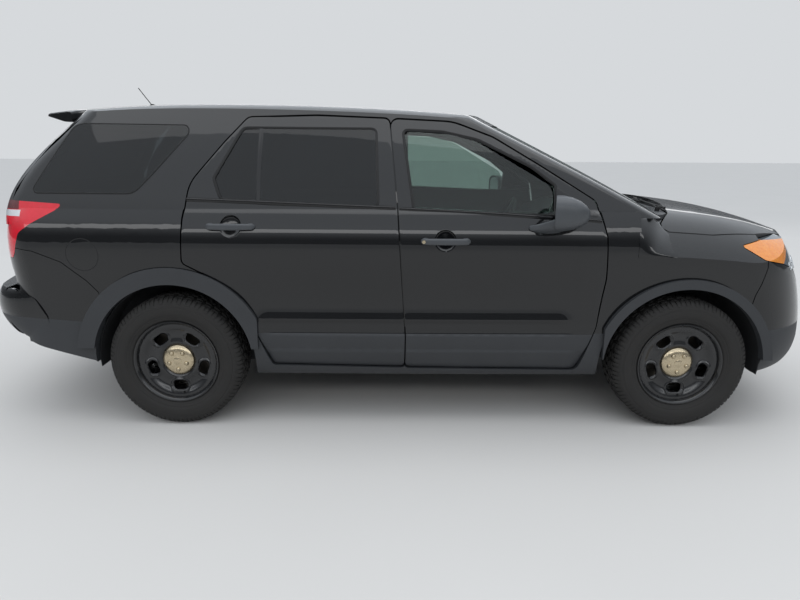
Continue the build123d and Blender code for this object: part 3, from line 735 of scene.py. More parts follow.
def loft(name: str, rings: Sequence[np.ndarray], finish: Finish, shut_rings: bool = True,
         shut_across: bool = False, caps: bool = False, sharp: float = 35.0) -> bpy.types.Object:
    """A skin through rows of points.

    Args:
        name: the object's name.
        rings: rows with the same number of points.
        finish: its finish.
        shut_rings: whether each row closes on itself.
        shut_across: whether the last row joins the first.
        caps: whether the end rows are filled.
        sharp: the angle in degrees from which an edge stays sharp.

    Returns:
        The skin, with its faces pointing outwards.
    """
    count, rows = len(rings[0]), len(rings)
    faces = []
    for row in range(rows if shut_across else rows - 1):
        for at in range(count if shut_rings else count - 1):
            a, b = row * count + at, row * count + (at + 1) % count
            c, d = (row + 1) % rows * count + (at + 1) % count, (row + 1) % rows * count + at
            faces.append((a, b, c, d))
    if caps and not shut_across:
        faces += [tuple(range(count))[::-1], tuple(range((rows - 1) * count, rows * count))]
    if shut_across and not shut_rings:
        faces += [tuple(row * count for row in range(rows)),
                  tuple(row * count + count - 1 for row in range(rows))]
    made = new_object(name, np.concatenate([np.asarray(ring, float) for ring in rings]), faces, finish, sharp)
    return outward(made, sharp)


def outward(piece: bpy.types.Object, sharp: float = 35.0) -> bpy.types.Object:
    """Merges a piece's doubles and turns its faces outwards.

    Args:
        piece: the object.
        sharp: the angle in degrees from which an edge stays sharp.

    Returns:
        The same object.
    """
    with edited(piece.data) as form:
        bmesh.ops.remove_doubles(form, verts=form.verts, dist=1e-6)
        bmesh.ops.recalc_face_normals(form, faces=form.faces)
    piece.data.shade_smooth()
    piece.data.set_sharp_from_angle(angle=math.radians(sharp))
    return piece


def revolve(name: str, profile: Points, centre: Sequence[float], finish: Finish, steps: int = 96,
            sharp: float = 35.0) -> bpy.types.Object:
    """A turned form about an axis along Y.

    Args:
        name: the object's name.
        profile: closed rows of radius and place along Y, in millimetres.
        centre: the axis's point, in metres.
        finish: its finish.
        steps: how many steps round.
        sharp: the angle in degrees from which an edge stays sharp.

    Returns:
        The form.
    """
    rings = []
    for radius, y in profile:
        angles = np.linspace(0, 2 * math.pi, steps, endpoint=False)
        rings.append(np.stack([centre[0] + radius * MM * np.cos(angles), np.full(steps, centre[1] + y * MM),
                               centre[2] + radius * MM * np.sin(angles)], 1))
    return loft(name, rings, finish, shut_across=True, sharp=sharp)


def tube(name: str, points: Points, radius: float, finish: Finish, sides: int = 12,
         shut: bool = False) -> bpy.types.Object:
    """A round bar along a line.

    Args:
        name: the object's name.
        points: the line, in metres.
        radius: the bar's radius.
        finish: its finish.
        sides: faces round it.
        shut: whether the line closes on itself.

    Returns:
        The bar.
    """
    line = [Vector(point) for point in points]
    rings, up = [], Vector((0.13, 0.2, 1)).normalized()
    for at, point in enumerate(line):
        after = line[(at + 1) % len(line)] if shut or at + 1 < len(line) else point
        before = line[at - 1] if shut or at else point
        along = (after - before).normalized()
        across = along.cross(up).normalized()
        rise = across.cross(along).normalized()
        angles = [2 * math.pi * number / sides for number in range(sides)]
        rings.append(np.array([tuple(point + (across * math.cos(a) + rise * math.sin(a)) * radius)
                               for a in angles]))
    return loft(name, rings, finish, shut_across=shut, caps=not shut)


def block(name: str, low: Sequence[float], high: Sequence[float], finish: Finish, roll: float = 0.003,
          segments: int = 3) -> bpy.types.Object:
    """A moulded block with rolled edges.

    Args:
        name: the object's name.
        low: its lowest corner, in metres.
        high: its highest corner.
        finish: its finish.
        roll: the radius of its edges.
        segments: faces across each edge.

    Returns:
        The block.
    """
    verts = [(x, y, z) for x in (low[0], high[0]) for y in (low[1], high[1]) for z in (low[2], high[2])]
    faces = [(0, 1, 3, 2), (4, 6, 7, 5), (0, 4, 5, 1), (2, 3, 7, 6), (0, 2, 6, 4), (1, 5, 7, 3)]
    return bevelled(outward(new_object(name, verts, faces, finish)), roll, segments)


def oval_ring(centre: Vector, first: Vector, second: Vector, power: float = 2.6,
              count: int = 28) -> np.ndarray:
    """A squared oval about a point.

    Args:
        centre: its middle.
        first: half its length, as a vector.
        second: half its width, as a vector.
        power: 2 for an ellipse, more for a squarer form.
        count: how many points.

    Returns:
        The points.
    """
    ring = []
    for number in range(count):
        angle = 2 * math.pi * number / count
        c, s = math.cos(angle), math.sin(angle)
        ring.append(tuple(centre + first * math.copysign(abs(c) ** (2 / power), c)
                          + second * math.copysign(abs(s) ** (2 / power), s)))
    return np.array(ring)


class Repeater:
    """A Geometry Nodes tree that sets a seed mesh down many times, each a turn and a step from the last."""

    def __init__(self) -> None:
        """Builds the tree with its named inputs."""
        self.tree = bpy.data.node_groups.new("repeat_with_turn_and_step", "GeometryNodeTree")
        face = self.tree.interface
        face.new_socket("Geometry", in_out="INPUT", socket_type="NodeSocketGeometry")
        self.count = face.new_socket("Count", in_out="INPUT", socket_type="NodeSocketInt")
        self.step = face.new_socket("Step", in_out="INPUT", socket_type="NodeSocketVector")
        self.turn = face.new_socket("Turn", in_out="INPUT", socket_type="NodeSocketVector")
        self.centre = face.new_socket("Centre", in_out="INPUT", socket_type="NodeSocketVector")
        self.finish = face.new_socket("Finish", in_out="INPUT", socket_type="NodeSocketMaterial")
        face.new_socket("Geometry", in_out="OUTPUT", socket_type="NodeSocketGeometry")
        given = add_node(self.tree, "NodeGroupInput").outputs
        number = add_node(self.tree, "GeometryNodeInputIndex").outputs[0]
        step = add_node(self.tree, "ShaderNodeVectorMath", {0: given["Step"], "Scale": number},
                        operation="SCALE")
        turn = add_node(self.tree, "ShaderNodeVectorMath", {0: given["Turn"], "Scale": number},
                        operation="SCALE")
        place = add_node(self.tree, "ShaderNodeVectorMath", {0: step.outputs[0], 1: given["Centre"]},
                         operation="ADD")
        points = add_node(self.tree, "GeometryNodePoints",
                          {"Count": given["Count"], "Position": place.outputs[0]})
        back = add_node(self.tree, "ShaderNodeVectorMath", {0: given["Centre"], "Scale": -1.0},
                        operation="SCALE")
        seed = add_node(self.tree, "GeometryNodeTransform", {
            "Geometry": given["Geometry"], "Translation": back.outputs[0]})
        spread = add_node(self.tree, "GeometryNodeInstanceOnPoints", {
            "Points": points.outputs[0], "Instance": seed.outputs[0]})
        angle = add_node(self.tree, "FunctionNodeEulerToRotation", {0: turn.outputs[0]})
        self.tree.links.new(angle.outputs[0], spread.inputs["Rotation"])
        real = add_node(self.tree, "GeometryNodeRealizeInstances", {"Geometry": spread.outputs[0]})
        dressed = add_node(self.tree, "GeometryNodeSetMaterial", {
            "Geometry": real.outputs[0], "Material": given["Finish"]})
        add_node(self.tree, "NodeGroupOutput", {"Geometry": dressed.outputs[0]})

    def run(self, seed: bpy.types.Object, count: int, finish: Finish, step: Sequence[float] = (0, 0, 0),
            turn: Sequence[float] = (0, 0, 0), centre: Sequence[float] = (0, 0, 0)) -> bpy.types.Object:
        """Repeats a seed into one plain mesh.

        Args:
            seed: the object to repeat.
            count: how many.
            finish: the finish of all.
            step: how far each is from the last.
            turn: how far each turns from the last, about each axis.
            centre: the point that it turns about.

        Returns:
            The seed's object with all of them in its mesh.
        """
        change = seed.modifiers.new("repeat", "NODES")
        change.node_group = self.tree
        change[self.count.identifier] = count
        change[self.step.identifier] = tuple(map(float, step))
        change[self.turn.identifier] = tuple(map(float, turn))
        change[self.centre.identifier] = tuple(map(float, centre))
        change[self.finish.identifier] = finish.material()
        seed.update_tag()
        return baked(seed)


REPEAT = Repeater()


class Assembly:
    """A group of pieces that is built, seated on its body and reported."""

    def seat(self, piece: bpy.types.Object, body: str, slot: str, *nodes: str) -> bpy.types.Object:
        """Rides a piece on its body.

        Args:
            piece: the object.
            body: the CAD body.
            slot: the record's material slot; not used.
            nodes: the CAD nodes it stands for.

        Returns:
            The same object.
        """
        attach(piece, body)
        if nodes:
            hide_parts(*nodes)
        LOG.info("%s on %s: %d faces", piece.name, body, len(piece.data.polygons))
        return piece


# Body panels taken over from the frame

@dataclass(frozen=True)
class Panel:
    """One carried-over panel: its node, name, body, finish and the slope below which it is bare plastic."""

    node: str
    name: str
    body: str
    finish: Finish
    slot: str
    low_finish: Optional[Finish] = None
    low_line: tuple = ()


PAINT_SLOT, PLASTIC_SLOT = "gloss_black_paint", "black_moulded_plastic"
SILL_LINE = ((0.0, 0.565), (1.0, 0.565))
FRONT_LINE = ((1.95, 0.575), (2.5, 0.615))
REAR_LINE = ((-1.801, 0.612), (-2.357, 0.649))
PANELS = (
    Panel("body_side_right", "side_panel_right", "body", PAINT, PAINT_SLOT, PLASTIC, SILL_LINE),
    Panel("body_side_left", "side_panel_left", "body", PAINT, PAINT_SLOT, PLASTIC, SILL_LINE),
    Panel("fenders", "front_wings", "body", PAINT, PAINT_SLOT, PLASTIC, SILL_LINE),
    Panel("front_bumper", "front_bumper_cover", "body", PAINT, PAINT_SLOT, PLASTIC, FRONT_LINE),
    Panel("rear_bumper", "rear_bumper_cover", "body", PAINT, PAINT_SLOT, PLASTIC, REAR_LINE),
    Panel("roof_panel", "roof_skin", "body", PAINT, PAINT_SLOT),
    Panel("hood", "hood_skin", "hood", PAINT, PAINT_SLOT),
    Panel("tailgate", "tailgate_skin", "tailgate", PAINT, PAINT_SLOT),
    Panel("cowl", "cowl_grille_panel", "body", PLASTIC, PLASTIC_SLOT),
    Panel("arch_mouldings", "wheel_arch_mouldings", "body", PLASTIC, PLASTIC_SLOT),
    Panel("grille", "grille_bars", "body", BLACK_ABS, PLASTIC_SLOT),
)


class BodyPanels(Assembly):
    """Every painted panel whose form is the frame's own."""

    def copy(self, node: str, name: str, finish: Finish) -> bpy.types.Object:
        """Copies a node's mesh, merged and smooth.

        Args:
            node: the CAD node.
            name: the piece's name.
            finish: its finish.

        Returns:
            The piece.
        """
        mesh = bpy.data.meshes.new(name)
        form = bmesh.new()
        form.from_mesh(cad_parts[node].data)
        bmesh.ops.remove_doubles(form, verts=form.verts, dist=2e-5)
        form.to_mesh(mesh)
        form.free()
        if "custom_normal" in mesh.attributes:
            mesh.attributes.remove(mesh.attributes["custom_normal"])
        mesh.shade_smooth()
        mesh.set_sharp_from_angle(angle=math.radians(PANEL_SHARP))
        made = placed(name, mesh)
        dress(made, finish.material())
        for face in mesh.polygons:
            face.material_index = 0
        return made

    def part_below(self, piece: bpy.types.Object, line: tuple, finish: Finish) -> None:
        """Gives what lies below a sloping line its own finish.

        Args:
            piece: the object.
            line: two points of the line, in X and Z.
            finish: the finish below it.
        """
        (x0, z0), (x1, z1) = line
        up = Vector((-(z1 - z0), 0, x1 - x0)).normalized()
        up = up if up.z > 0 else -up
        with edited(piece.data) as form:
            cut(form, (x0, 0, z0), up)
            for face in form.faces:
                if (face.calc_center_median() - Vector((x0, 0, z0))).dot(up) < 0:
                    face.material_index = 1
        piece.data.materials.append(finish.material())
        piece.data.set_sharp_from_angle(angle=math.radians(PANEL_SHARP))

    def build(self) -> None:
        """Makes every panel of the table."""
        for panel in PANELS:
            piece = self.copy(panel.node, panel.name, panel.finish)
            if panel.low_finish:
                self.part_below(piece, panel.low_line, panel.low_finish)
            self.seat(piece, panel.body, panel.slot, panel.node)


# Doors

@dataclass(frozen=True)
class Door(Assembly):
    """One side door: a skin with a crease and cladding, a trim card, its window's seals and its handle."""

    place: str
    outline: tuple
    window: tuple
    handle_x: float
    handle_z: float
    crease: tuple
    belt: tuple
    bars: tuple = ()
    sail: tuple = ()
    crease_z: float = 0.640
    cladding_z: float = 0.560
    ledge_z: float = 0.466
    crease_rise: float = 0.008
    crease_fade: float = 0.105
    crease_drop: float = 0.022
    skin_depth: float = 0.032
    cup_radius: float = 0.058
    cup_depth: float = 0.024
    handle_half: float = 0.132
    foot_half: float = 0.108

    def face(self, x: np.ndarray, z: np.ndarray) -> np.ndarray:
        """How far out the door's skin stands.

        Args:
            x: places along the car.
            z: heights.

        Returns:
            The distance from the middle.
        """
        out = skin(x, z)
        rear, front = self.crease
        held = ramp(x, rear, rear + 0.12) * (1 - ramp(x, front - 0.12, front))
        above = np.clip(1 - (z - self.crease_z) / self.crease_fade, 0, 1) ** 2
        below = np.clip(1 - (self.crease_z - z) / self.crease_drop, 0, 1)
        out = out + self.crease_rise * held * np.where(z > self.crease_z, above,
                                                       below) - 0.0035 * held * (z > 0.3)
        clad = ramp(x, -0.80, -0.74) * (1 - ramp(x, 0.90, 0.97))
        out = out + clad * (0.006 * ramp(-z, -self.cladding_z, -self.cladding_z + 0.011)
                            + 0.007 * ramp(-z, -self.ledge_z, -self.ledge_z + 0.013) - 0.004)
        away = np.hypot(x - self.handle_x, (z - self.handle_z) * 1.02) / self.cup_radius
        return out - self.cup_depth * np.sqrt(np.clip(1 - away ** 2, 0, 1))

    def lines(self) -> np.ndarray:
        """Points that keep the crease, ledges and cup crisp.

        Returns:
            The points, in X and Z.
        """
        rows = []
        for level in (self.crease_z, self.crease_z - 0.006, self.crease_z + 0.006,
                      self.crease_z - self.crease_drop,
                      self.cladding_z, self.cladding_z - 0.011, self.ledge_z, self.ledge_z - 0.013,
                      *(row * MM for row in BELT_ROWS)):
            span = np.arange(-1.30, 1.10, 0.012)
            rows.append(np.stack([span, np.full(len(span), level)], 1))
        for share in (0.35, 0.7, 0.88, 0.96, 1.0, 1.04):
            rows.append(circle(self.handle_x, self.handle_z, self.cup_radius * share, 36))
        return np.concatenate(rows)

    def build(self, side: Side) -> None:
        """Makes the door on one side.

        Args:
            side: which side.
        """
        word = f"{self.place}_{side.word}"
        body = f"door_{word}"
        outline, hole = rounded(self.outline), rounded(self.window, 0.012)
        panel = sheet_on(f"door_skin_{word}", side, [outline, hole], self.face, self.skin_depth, PAINT,
                         extra=self.lines())
        BodyPanels().part_below(panel, ((0.0, self.cladding_z), (1.0, self.cladding_z)), PLASTIC)
        self.seat(panel, body, PAINT_SLOT, f"door_{word}")
        card = inset(outline, 0.016)
        card = card[card[:, 1] < 1.235]
        trim = sheet_on(f"door_card_{word}", side, [card], lambda x, z: skin(x, z) - self.skin_depth - 0.004,
                        0.044,
                        DASH_SKIN, spacing=0.05, roll=0.004)
        rest = block(f"armrest_{word}", (self.handle_x - 0.02, 0.86, 0.86),
                     (self.handle_x + 0.42, 0.93, 0.93),
                     DASH_SKIN, 0.02, 5)
        rest = rest if side is Side.LEFT else swapped(rest)
        self.seat(joined(f"door_trim_{word}", [trim, rest]), body, "interior_plastic")
        seal = trim_on(f"window_seal_{word}", side, inset(hole, -0.006), self.face, 0.016, 0.003, RUBBER)
        belt = trim_on(f"belt_strip_{word}", side, np.array(self.belt), self.face, 0.024, 0.006, BLACK_ABS,
                       False)
        strips = [seal, belt]
        for x, low, high in self.bars:
            line = np.stack([np.full(24, x), np.linspace(low, high, 24)], 1)
            strips.append(trim_on(f"bar_{word}", side, line, lambda x, z: skin(x, z) - 0.007, 0.026, 0.006,
                                  BLACK_ABS, False))
        self.seat(joined(f"window_trim_{word}", strips), body, PLASTIC_SLOT)
        if self.sail:
            corner = sheet_on(f"sail_{word}", side, [rounded(self.sail, 0.012)],
                              lambda x, z: skin(x, z) + 0.0025,
                              0.006, BLACK_ABS, roll=0.0015)
            self.seat(corner, body, PLASTIC_SLOT)
        self.seat(self.make_handle(side, word), body, PLASTIC_SLOT, f"handle_{word}")

    def make_handle(self, side: Side, word: str) -> bpy.types.Object:
        """The pull handle over its cup, with a lock in the front door's.

        Args:
            side: which side.
            word: the door's name.

        Returns:
            The handle.
        """
        rings = []
        out = float(skin(np.array([self.handle_x]), np.array([self.handle_z]))[0])
        for share in np.linspace(-1, 1, 25):
            x = self.handle_x + self.handle_half * share
            lift = 0.030 - 0.010 * share ** 2 - 0.016 * max(0.0, abs(share) - 0.88) / 0.12
            end = max(0.0, abs(share) - 0.94) / 0.06
            tall = 0.0178 * (1 - 0.12 * share ** 2) * math.sqrt(max(0.05, 1 - 0.8 * end ** 2))
            rings.append(oval_ring(Vector((x, side.value * (out + lift - 0.004), self.handle_z)),
                                   Vector((0, 0, tall)), Vector((0, 0.010, 0)), 2.8, 20))
        bar = loft(f"handle_bar_{word}", rings, SATIN_PLASTIC, caps=True)
        feet = []
        for place in (-self.foot_half, self.foot_half):
            spots = [oval_ring(Vector((self.handle_x + place, side.value * (out + up), self.handle_z)),
                               Vector((0.016 + grow, 0, 0)), Vector((0, 0, 0.015 + grow)), 3, 20)
                     for up, grow in ((-0.012, 0.002), (0.004, 0.002), (0.010, 0.0), (0.022, -0.002))]
            feet.append(loft(f"handle_foot_{word}", spots, SATIN_PLASTIC, caps=True))
        parts = [bar, *feet]
        if self.place == "front":
            parts.append(revolve(f"lock_{word}", ((0.1, 6), (8, 6), (9, 4), (9, -10), (0.1, -10)),
                                 (self.handle_x - 0.118, side.value * (out + 0.024), self.handle_z),
                                 STAINLESS, 24))
        return joined(f"door_handle_{word}", parts)


FRONT_DOOR = Door("front", (
    (1018, 1290, 60), (1067, 1110, 120), (1082, 880, 300), (1052, 600, 200), (962, 346, 30), (-6, 356, 20),
    (-3, 537, 300), (-49, 1242, 300), (-97, 1722, 40), (250, 1706, 300), (470, 1624, 200), (716, 1478, 300)),
    ((38, 1252, 12), (-22, 1656, 16), (188, 1648, 200), (384, 1606, 160), (676, 1462, 400), (800, 1368, 12),
     (792, 1222, 12)),
    0.204, 1.085, (-0.4, 0.96), ((-0.046, 1.246), (0.2, 1.236), (0.5, 1.222), (0.78, 1.205), (1.04, 1.190)),
    sail=((806, 1366, 6), (800, 1222, 6), (1030, 1212, 10), (1014, 1232, 20)))
REAR_DOOR = Door("rear", (
    (-104, 1722, 30), (-56, 1242, 300), (-10, 537, 300), (-13, 358, 20), (-752, 372, 20), (-830, 548, 200),
    (-1040, 862, 320), (-1216, 958, 30), (-1203, 1195, 60), (-1178, 1372, 200), (-1000, 1590, 300),
    (-880, 1724, 50), (-500, 1736, 600)),
    ((-1004, 1296, 30), (-1044, 1400, 20), (-903, 1662, 40), (-180, 1660, 20), (-164, 1262, 20)),
    -0.946, 1.155, (-0.89, 0.4), ((-1.19, 1.290), (-0.9, 1.281), (-0.5, 1.266), (-0.064, 1.250)),
    ((-0.806, 1.27, 1.665),))


# Wheels and tyres

AXLES = (("front", 1553.0), ("rear", -1307.0))
# Turned profiles, as radius and place outwards
RIM = ((227, 110), (234, 115), (240, 114), (240, 109), (232, 104), (227, 97), (225, 90), (222, 74),
       (212, 44), (208, 20), (208, -70), (226, -82), (227, -98), (240, -107), (240, -114), (226, -110),
       (216, -98), (202, -72), (202, 22), (206, 46), (215, 76), (219, 92), (222, 100))
CAP = ((0.2, 91), (20, 91), (46, 89.5), (66, 87), (80, 82), (87, 75), (88, 68), (84, 68), (60, 74), (0.2, 76))
LUG = ((0.2, 99), (6, 98.4), (10, 95.5), (12.6, 90), (13.5, 84), (0.2, 84))
BOSS = ((0.2, 94), (19, 93.5), (22, 92), (23, 88), (0.2, 88))
BRAKE_DISC = ((76, -6), (76, 40), (40, 40), (40, -40), (74, -40), (175, -40), (175, -14), (80, -14))


@dataclass(frozen=True)
class Wheel(Assembly):
    """A pressed steel wheel with lipped slots, a stainless cap and an all-terrain tyre, in millimetres."""

    half_track: float = 851.0
    hub_z: float = 380.0
    tyre_radius: float = 380.0
    shoulder_radius: float = 370.0
    slot_centre: float = 150.0
    slots: int = 5
    tread_blocks: int = 44

    def dish(self, x: np.ndarray, z: np.ndarray) -> np.ndarray:
        """How far out the wheel's disc stands from its middle plane.

        Args:
            x: places along the car from the hub, in metres.
            z: heights from the hub, in metres.

        Returns:
            The distance outwards, in metres.
        """
        radius = np.hypot(x, z) / MM
        profile = Spline((0, 60, 88, 104, 122, 150, 174, 190, 204, 221),
                         (58, 60, 68, 77, 74, 71, 75, 85, 91, 92))
        out = profile(radius)
        angle = (np.arctan2(x, -z) + math.pi / self.slots) % (2 * math.pi / self.slots) - math.pi / self.slots
        across, deep = radius * np.sin(angle), radius * np.cos(angle) - self.slot_centre
        away = np.hypot(np.clip(np.abs(across) - 19 - deep * 0.10, 0, None), deep) - 26
        lip = np.exp(-((away - 6) / 6.5) ** 2) * 8
        return (out + lip) * MM

    def slot_loop(self, number: int) -> np.ndarray:
        """The hole of one slot.

        Args:
            number: which slot, counted round the wheel.

        Returns:
            Its outline about the hub, in metres.
        """
        turn = 2 * math.pi * number / self.slots
        outline = rounded(((-43, -self.slot_centre - 26, 23), (43, -self.slot_centre - 26, 23),
                           (35, -self.slot_centre + 24, 20), (-35, -self.slot_centre + 24, 20)), 0.005)
        spin = np.array([[math.cos(turn), -math.sin(turn)], [math.sin(turn), math.cos(turn)]])
        return outline @ spin.T

    def build(self, place: str, axle: float, side: Side) -> None:
        """Makes one wheel and its tyre.

        Args:
            place: front or rear.
            axle: the axle's place along the car, in millimetres.
            side: which side.
        """
        word = f"{place}_{side.word}"
        centre = Vector((axle * MM, side.value * self.half_track * MM, self.hub_z * MM))
        out = side.value

        def moved(profile: Points) -> list:
            """A profile with its outer end on this wheel's side."""
            return [(radius, out * y) for radius, y in profile]

        flat_loops = [circle(0, 0, 0.2205, 120), circle(0, 0, 0.040, 40)]
        flat_loops += [self.slot_loop(number) for number in range(self.slots)]
        disc = sheet_on(f"disc_{word}", side, flat_loops, self.dish, 0.004, WHEEL_ENAMEL, spacing=0.0062,
                        roll=0.0012)
        disc.data.transform(Matrix.Translation(centre))
        rim = revolve(f"rim_{word}", moved(RIM), centre, WHEEL_ENAMEL, 128, 40)
        cap = revolve(f"cap_{word}", moved(CAP), centre, STAINLESS, 72)
        bump = revolve(f"lug_{word}", moved(LUG), centre + Vector((0, 0, -0.052)), STAINLESS, 24)
        bump = REPEAT.run(bump, self.slots, STAINLESS, turn=(0, 2 * math.pi / self.slots, 0), centre=centre)
        badge = revolve(f"boss_{word}", moved(BOSS), centre, STAINLESS, 40)
        rotor = revolve(f"rotor_{word}", moved(BRAKE_DISC), centre, ROTOR_STEEL, 72)
        stem = tube(f"valve_{word}", [centre + Vector((0.02, out * 0.076, -0.198)),
                                      centre + Vector((0.022, out * 0.104, -0.190))], 0.004, RUBBER, 10)
        piece = joined(f"steel_wheel_{word}", [disc, rim, cap, bump, badge, rotor, stem])
        self.seat(piece, f"wheel_{word}", "black_steel_wheel", f"wheel_{word}")
        self.build_tyre(word, centre, out)

    def build_tyre(self, word: str, centre: Vector, out: int) -> None:
        """The tyre's carcass with its rings, and the blocks of its tread.

        Args:
            word: the wheel's name.
            centre: the hub.
            out: the sign of Y outwards; not used.
        """
        half = ((229, 60), (229, 88), (231, 97), (238, 103), (246, 109), (251, 116), (256, 117.5),
                (262, 119.5), (264, 121.8), (270, 123), (273, 123.4), (275, 125.6), (292, 129.2),
                (308, 130.5), (322, 129.8), (324, 127.8), (327, 127.6), (330, 128.2), (340, 125.5),
                (350, 121), (360, 114), (367, 104), (370.5, 90), (371.5, 50), (372, 0))
        profile = list(half) + [(radius, -y) for radius, y in reversed(half[:-1])]
        carcass = revolve(f"carcass_{word}", profile, centre, TYRE, 120, 40)
        turn = 2 * math.pi / self.tread_blocks
        pieces = [carcass]
        # Each row of blocks: place across the tread, width, length, slant, first angle and top radius
        rows = ((0, 26, 31, 9, 0.0, 380), (33, 27, 33, -8, 0.35, 379.6), (-33, 27, 33, -8, 0.65, 379.6),
                (69, 30, 30, 7, 0.15, 378.2), (-69, 30, 30, 7, 0.85, 378.2))
        for number, (y, wide, long, slant, start, top) in enumerate(rows):
            seed = self.tread_block(f"block_{word}_{number}", centre, y, wide, long, slant, start * turn, top)
            pieces.append(REPEAT.run(seed, self.tread_blocks, TYRE, turn=(0, turn, 0), centre=centre))
        for sign in (1, -1):
            for number, start in enumerate((0.0, 0.5)):
                seed = self.shoulder_block(f"shoulder_{word}_{sign}_{number}", centre, sign, start * turn,
                                           number)
                pieces.append(REPEAT.run(seed, self.tread_blocks, TYRE, turn=(0, turn, 0), centre=centre))
        self.seat(joined(f"tyre_{word}_all_terrain", pieces), f"wheel_{word}", "tyre_rubber", f"tyre_{word}")

    def tread_block(self, name: str, centre: Vector, y: float, wide: float, long: float, slant: float,
                    start: float, top: float) -> bpy.types.Object:
        """One block of the tread, bent with the tyre.

        Args:
            name: the object's name.
            centre: the hub, in metres.
            y: the block's place across the tread, in millimetres as all below.
            wide: its width.
            long: its length round the tyre.
            slant: how far its ends are skewed.
            start: its angle in radians.
            top: the radius of its face.

        Returns:
            The block.
        """
        rings = []
        for radius, grow in ((368, 1.5), (top - 1.2, 0.4), (top, -1.0)):
            ring = []
            for across, along in ((-1, -1), (-0.2, -1.12), (1, -1), (1, 0.1), (0.86, 1), (-0.1, 1.1), (-1, 1),
                                  (-1, 0)):
                place = y + across * (wide / 2 + grow) + along * slant / 3
                angle = start + (along * (long / 2 + grow) + across * slant / 2) / self.tyre_radius
                ring.append((centre.x + radius * MM * math.sin(angle), centre.y + place * MM,
                             centre.z + radius * MM * math.cos(angle)))
            rings.append(np.array(ring))
        return loft(name, rings, TYRE, caps=True, sharp=30)

    def shoulder_block(self, name: str, centre: Vector, sign: int, start: float,
                       number: int) -> bpy.types.Object:
        """One shoulder block that runs a little way down the side of the tyre.

        Args:
            name: the object's name.
            centre: the hub, in metres.
            sign: the side of the tyre that it is on.
            start: its angle in radians.
            number: 0 for the long kind and 1 for the short one.

        Returns:
            The block.
        """
        line = ((376.2, 88), (374.5, 101), (368.5, 111), (358, 119.5), (346 - 8 * number, 126))
        floor = ((366, 86), (366, 96), (359, 105), (349, 114), (338 - 8 * number, 121))
        rings = []
        for at, ((radius, y), (low, low_y)) in enumerate(zip(line, floor)):
            long = (11.5, 11.2, 10.4, 9.4, 7.5)[at] * (1.0 if number else 0.9)
            ring = []
            for radial, place, along in ((radius, y, -1), (radius, y, 1), (low, low_y, 1.1),
                                         (low, low_y, -1.1)):
                angle = start + along * long / self.shoulder_radius
                ring.append((centre.x + radial * MM * math.sin(angle), centre.y + sign * place * MM,
                             centre.z + radial * MM * math.cos(angle)))
            rings.append(np.array(ring))
        return loft(name, rings, TYRE, caps=True, sharp=30)


# The rest of what the frame's nodes need

@dataclass(frozen=True)
class Arch:
    """The liners of one pair of wheel openings, in metres, with their first angle in degrees."""

    place: str
    axle: float
    radius: float
    inner: float
    outer: float
    first: float
    wall: float


ARCHES = (Arch("front", 1.553, 0.462, 0.522, 0.93, -28, 0.460),
          Arch("rear", -1.307, 0.450, 0.704, 0.91, -6, 0.472))
# Where each wiper's pivot and arm end stand, in X and Y
WIPERS = (((1.496, -0.56), (1.538, -0.18)), ((1.542, 0.06), (1.506, 0.44)))
# The round bowls of each headlamp: place in Y and Z in metres, and radius in millimetres
BOWLS = ((0.655, 0.925, 52), (0.775, 0.945, 40), (0.848, 0.935, 24))


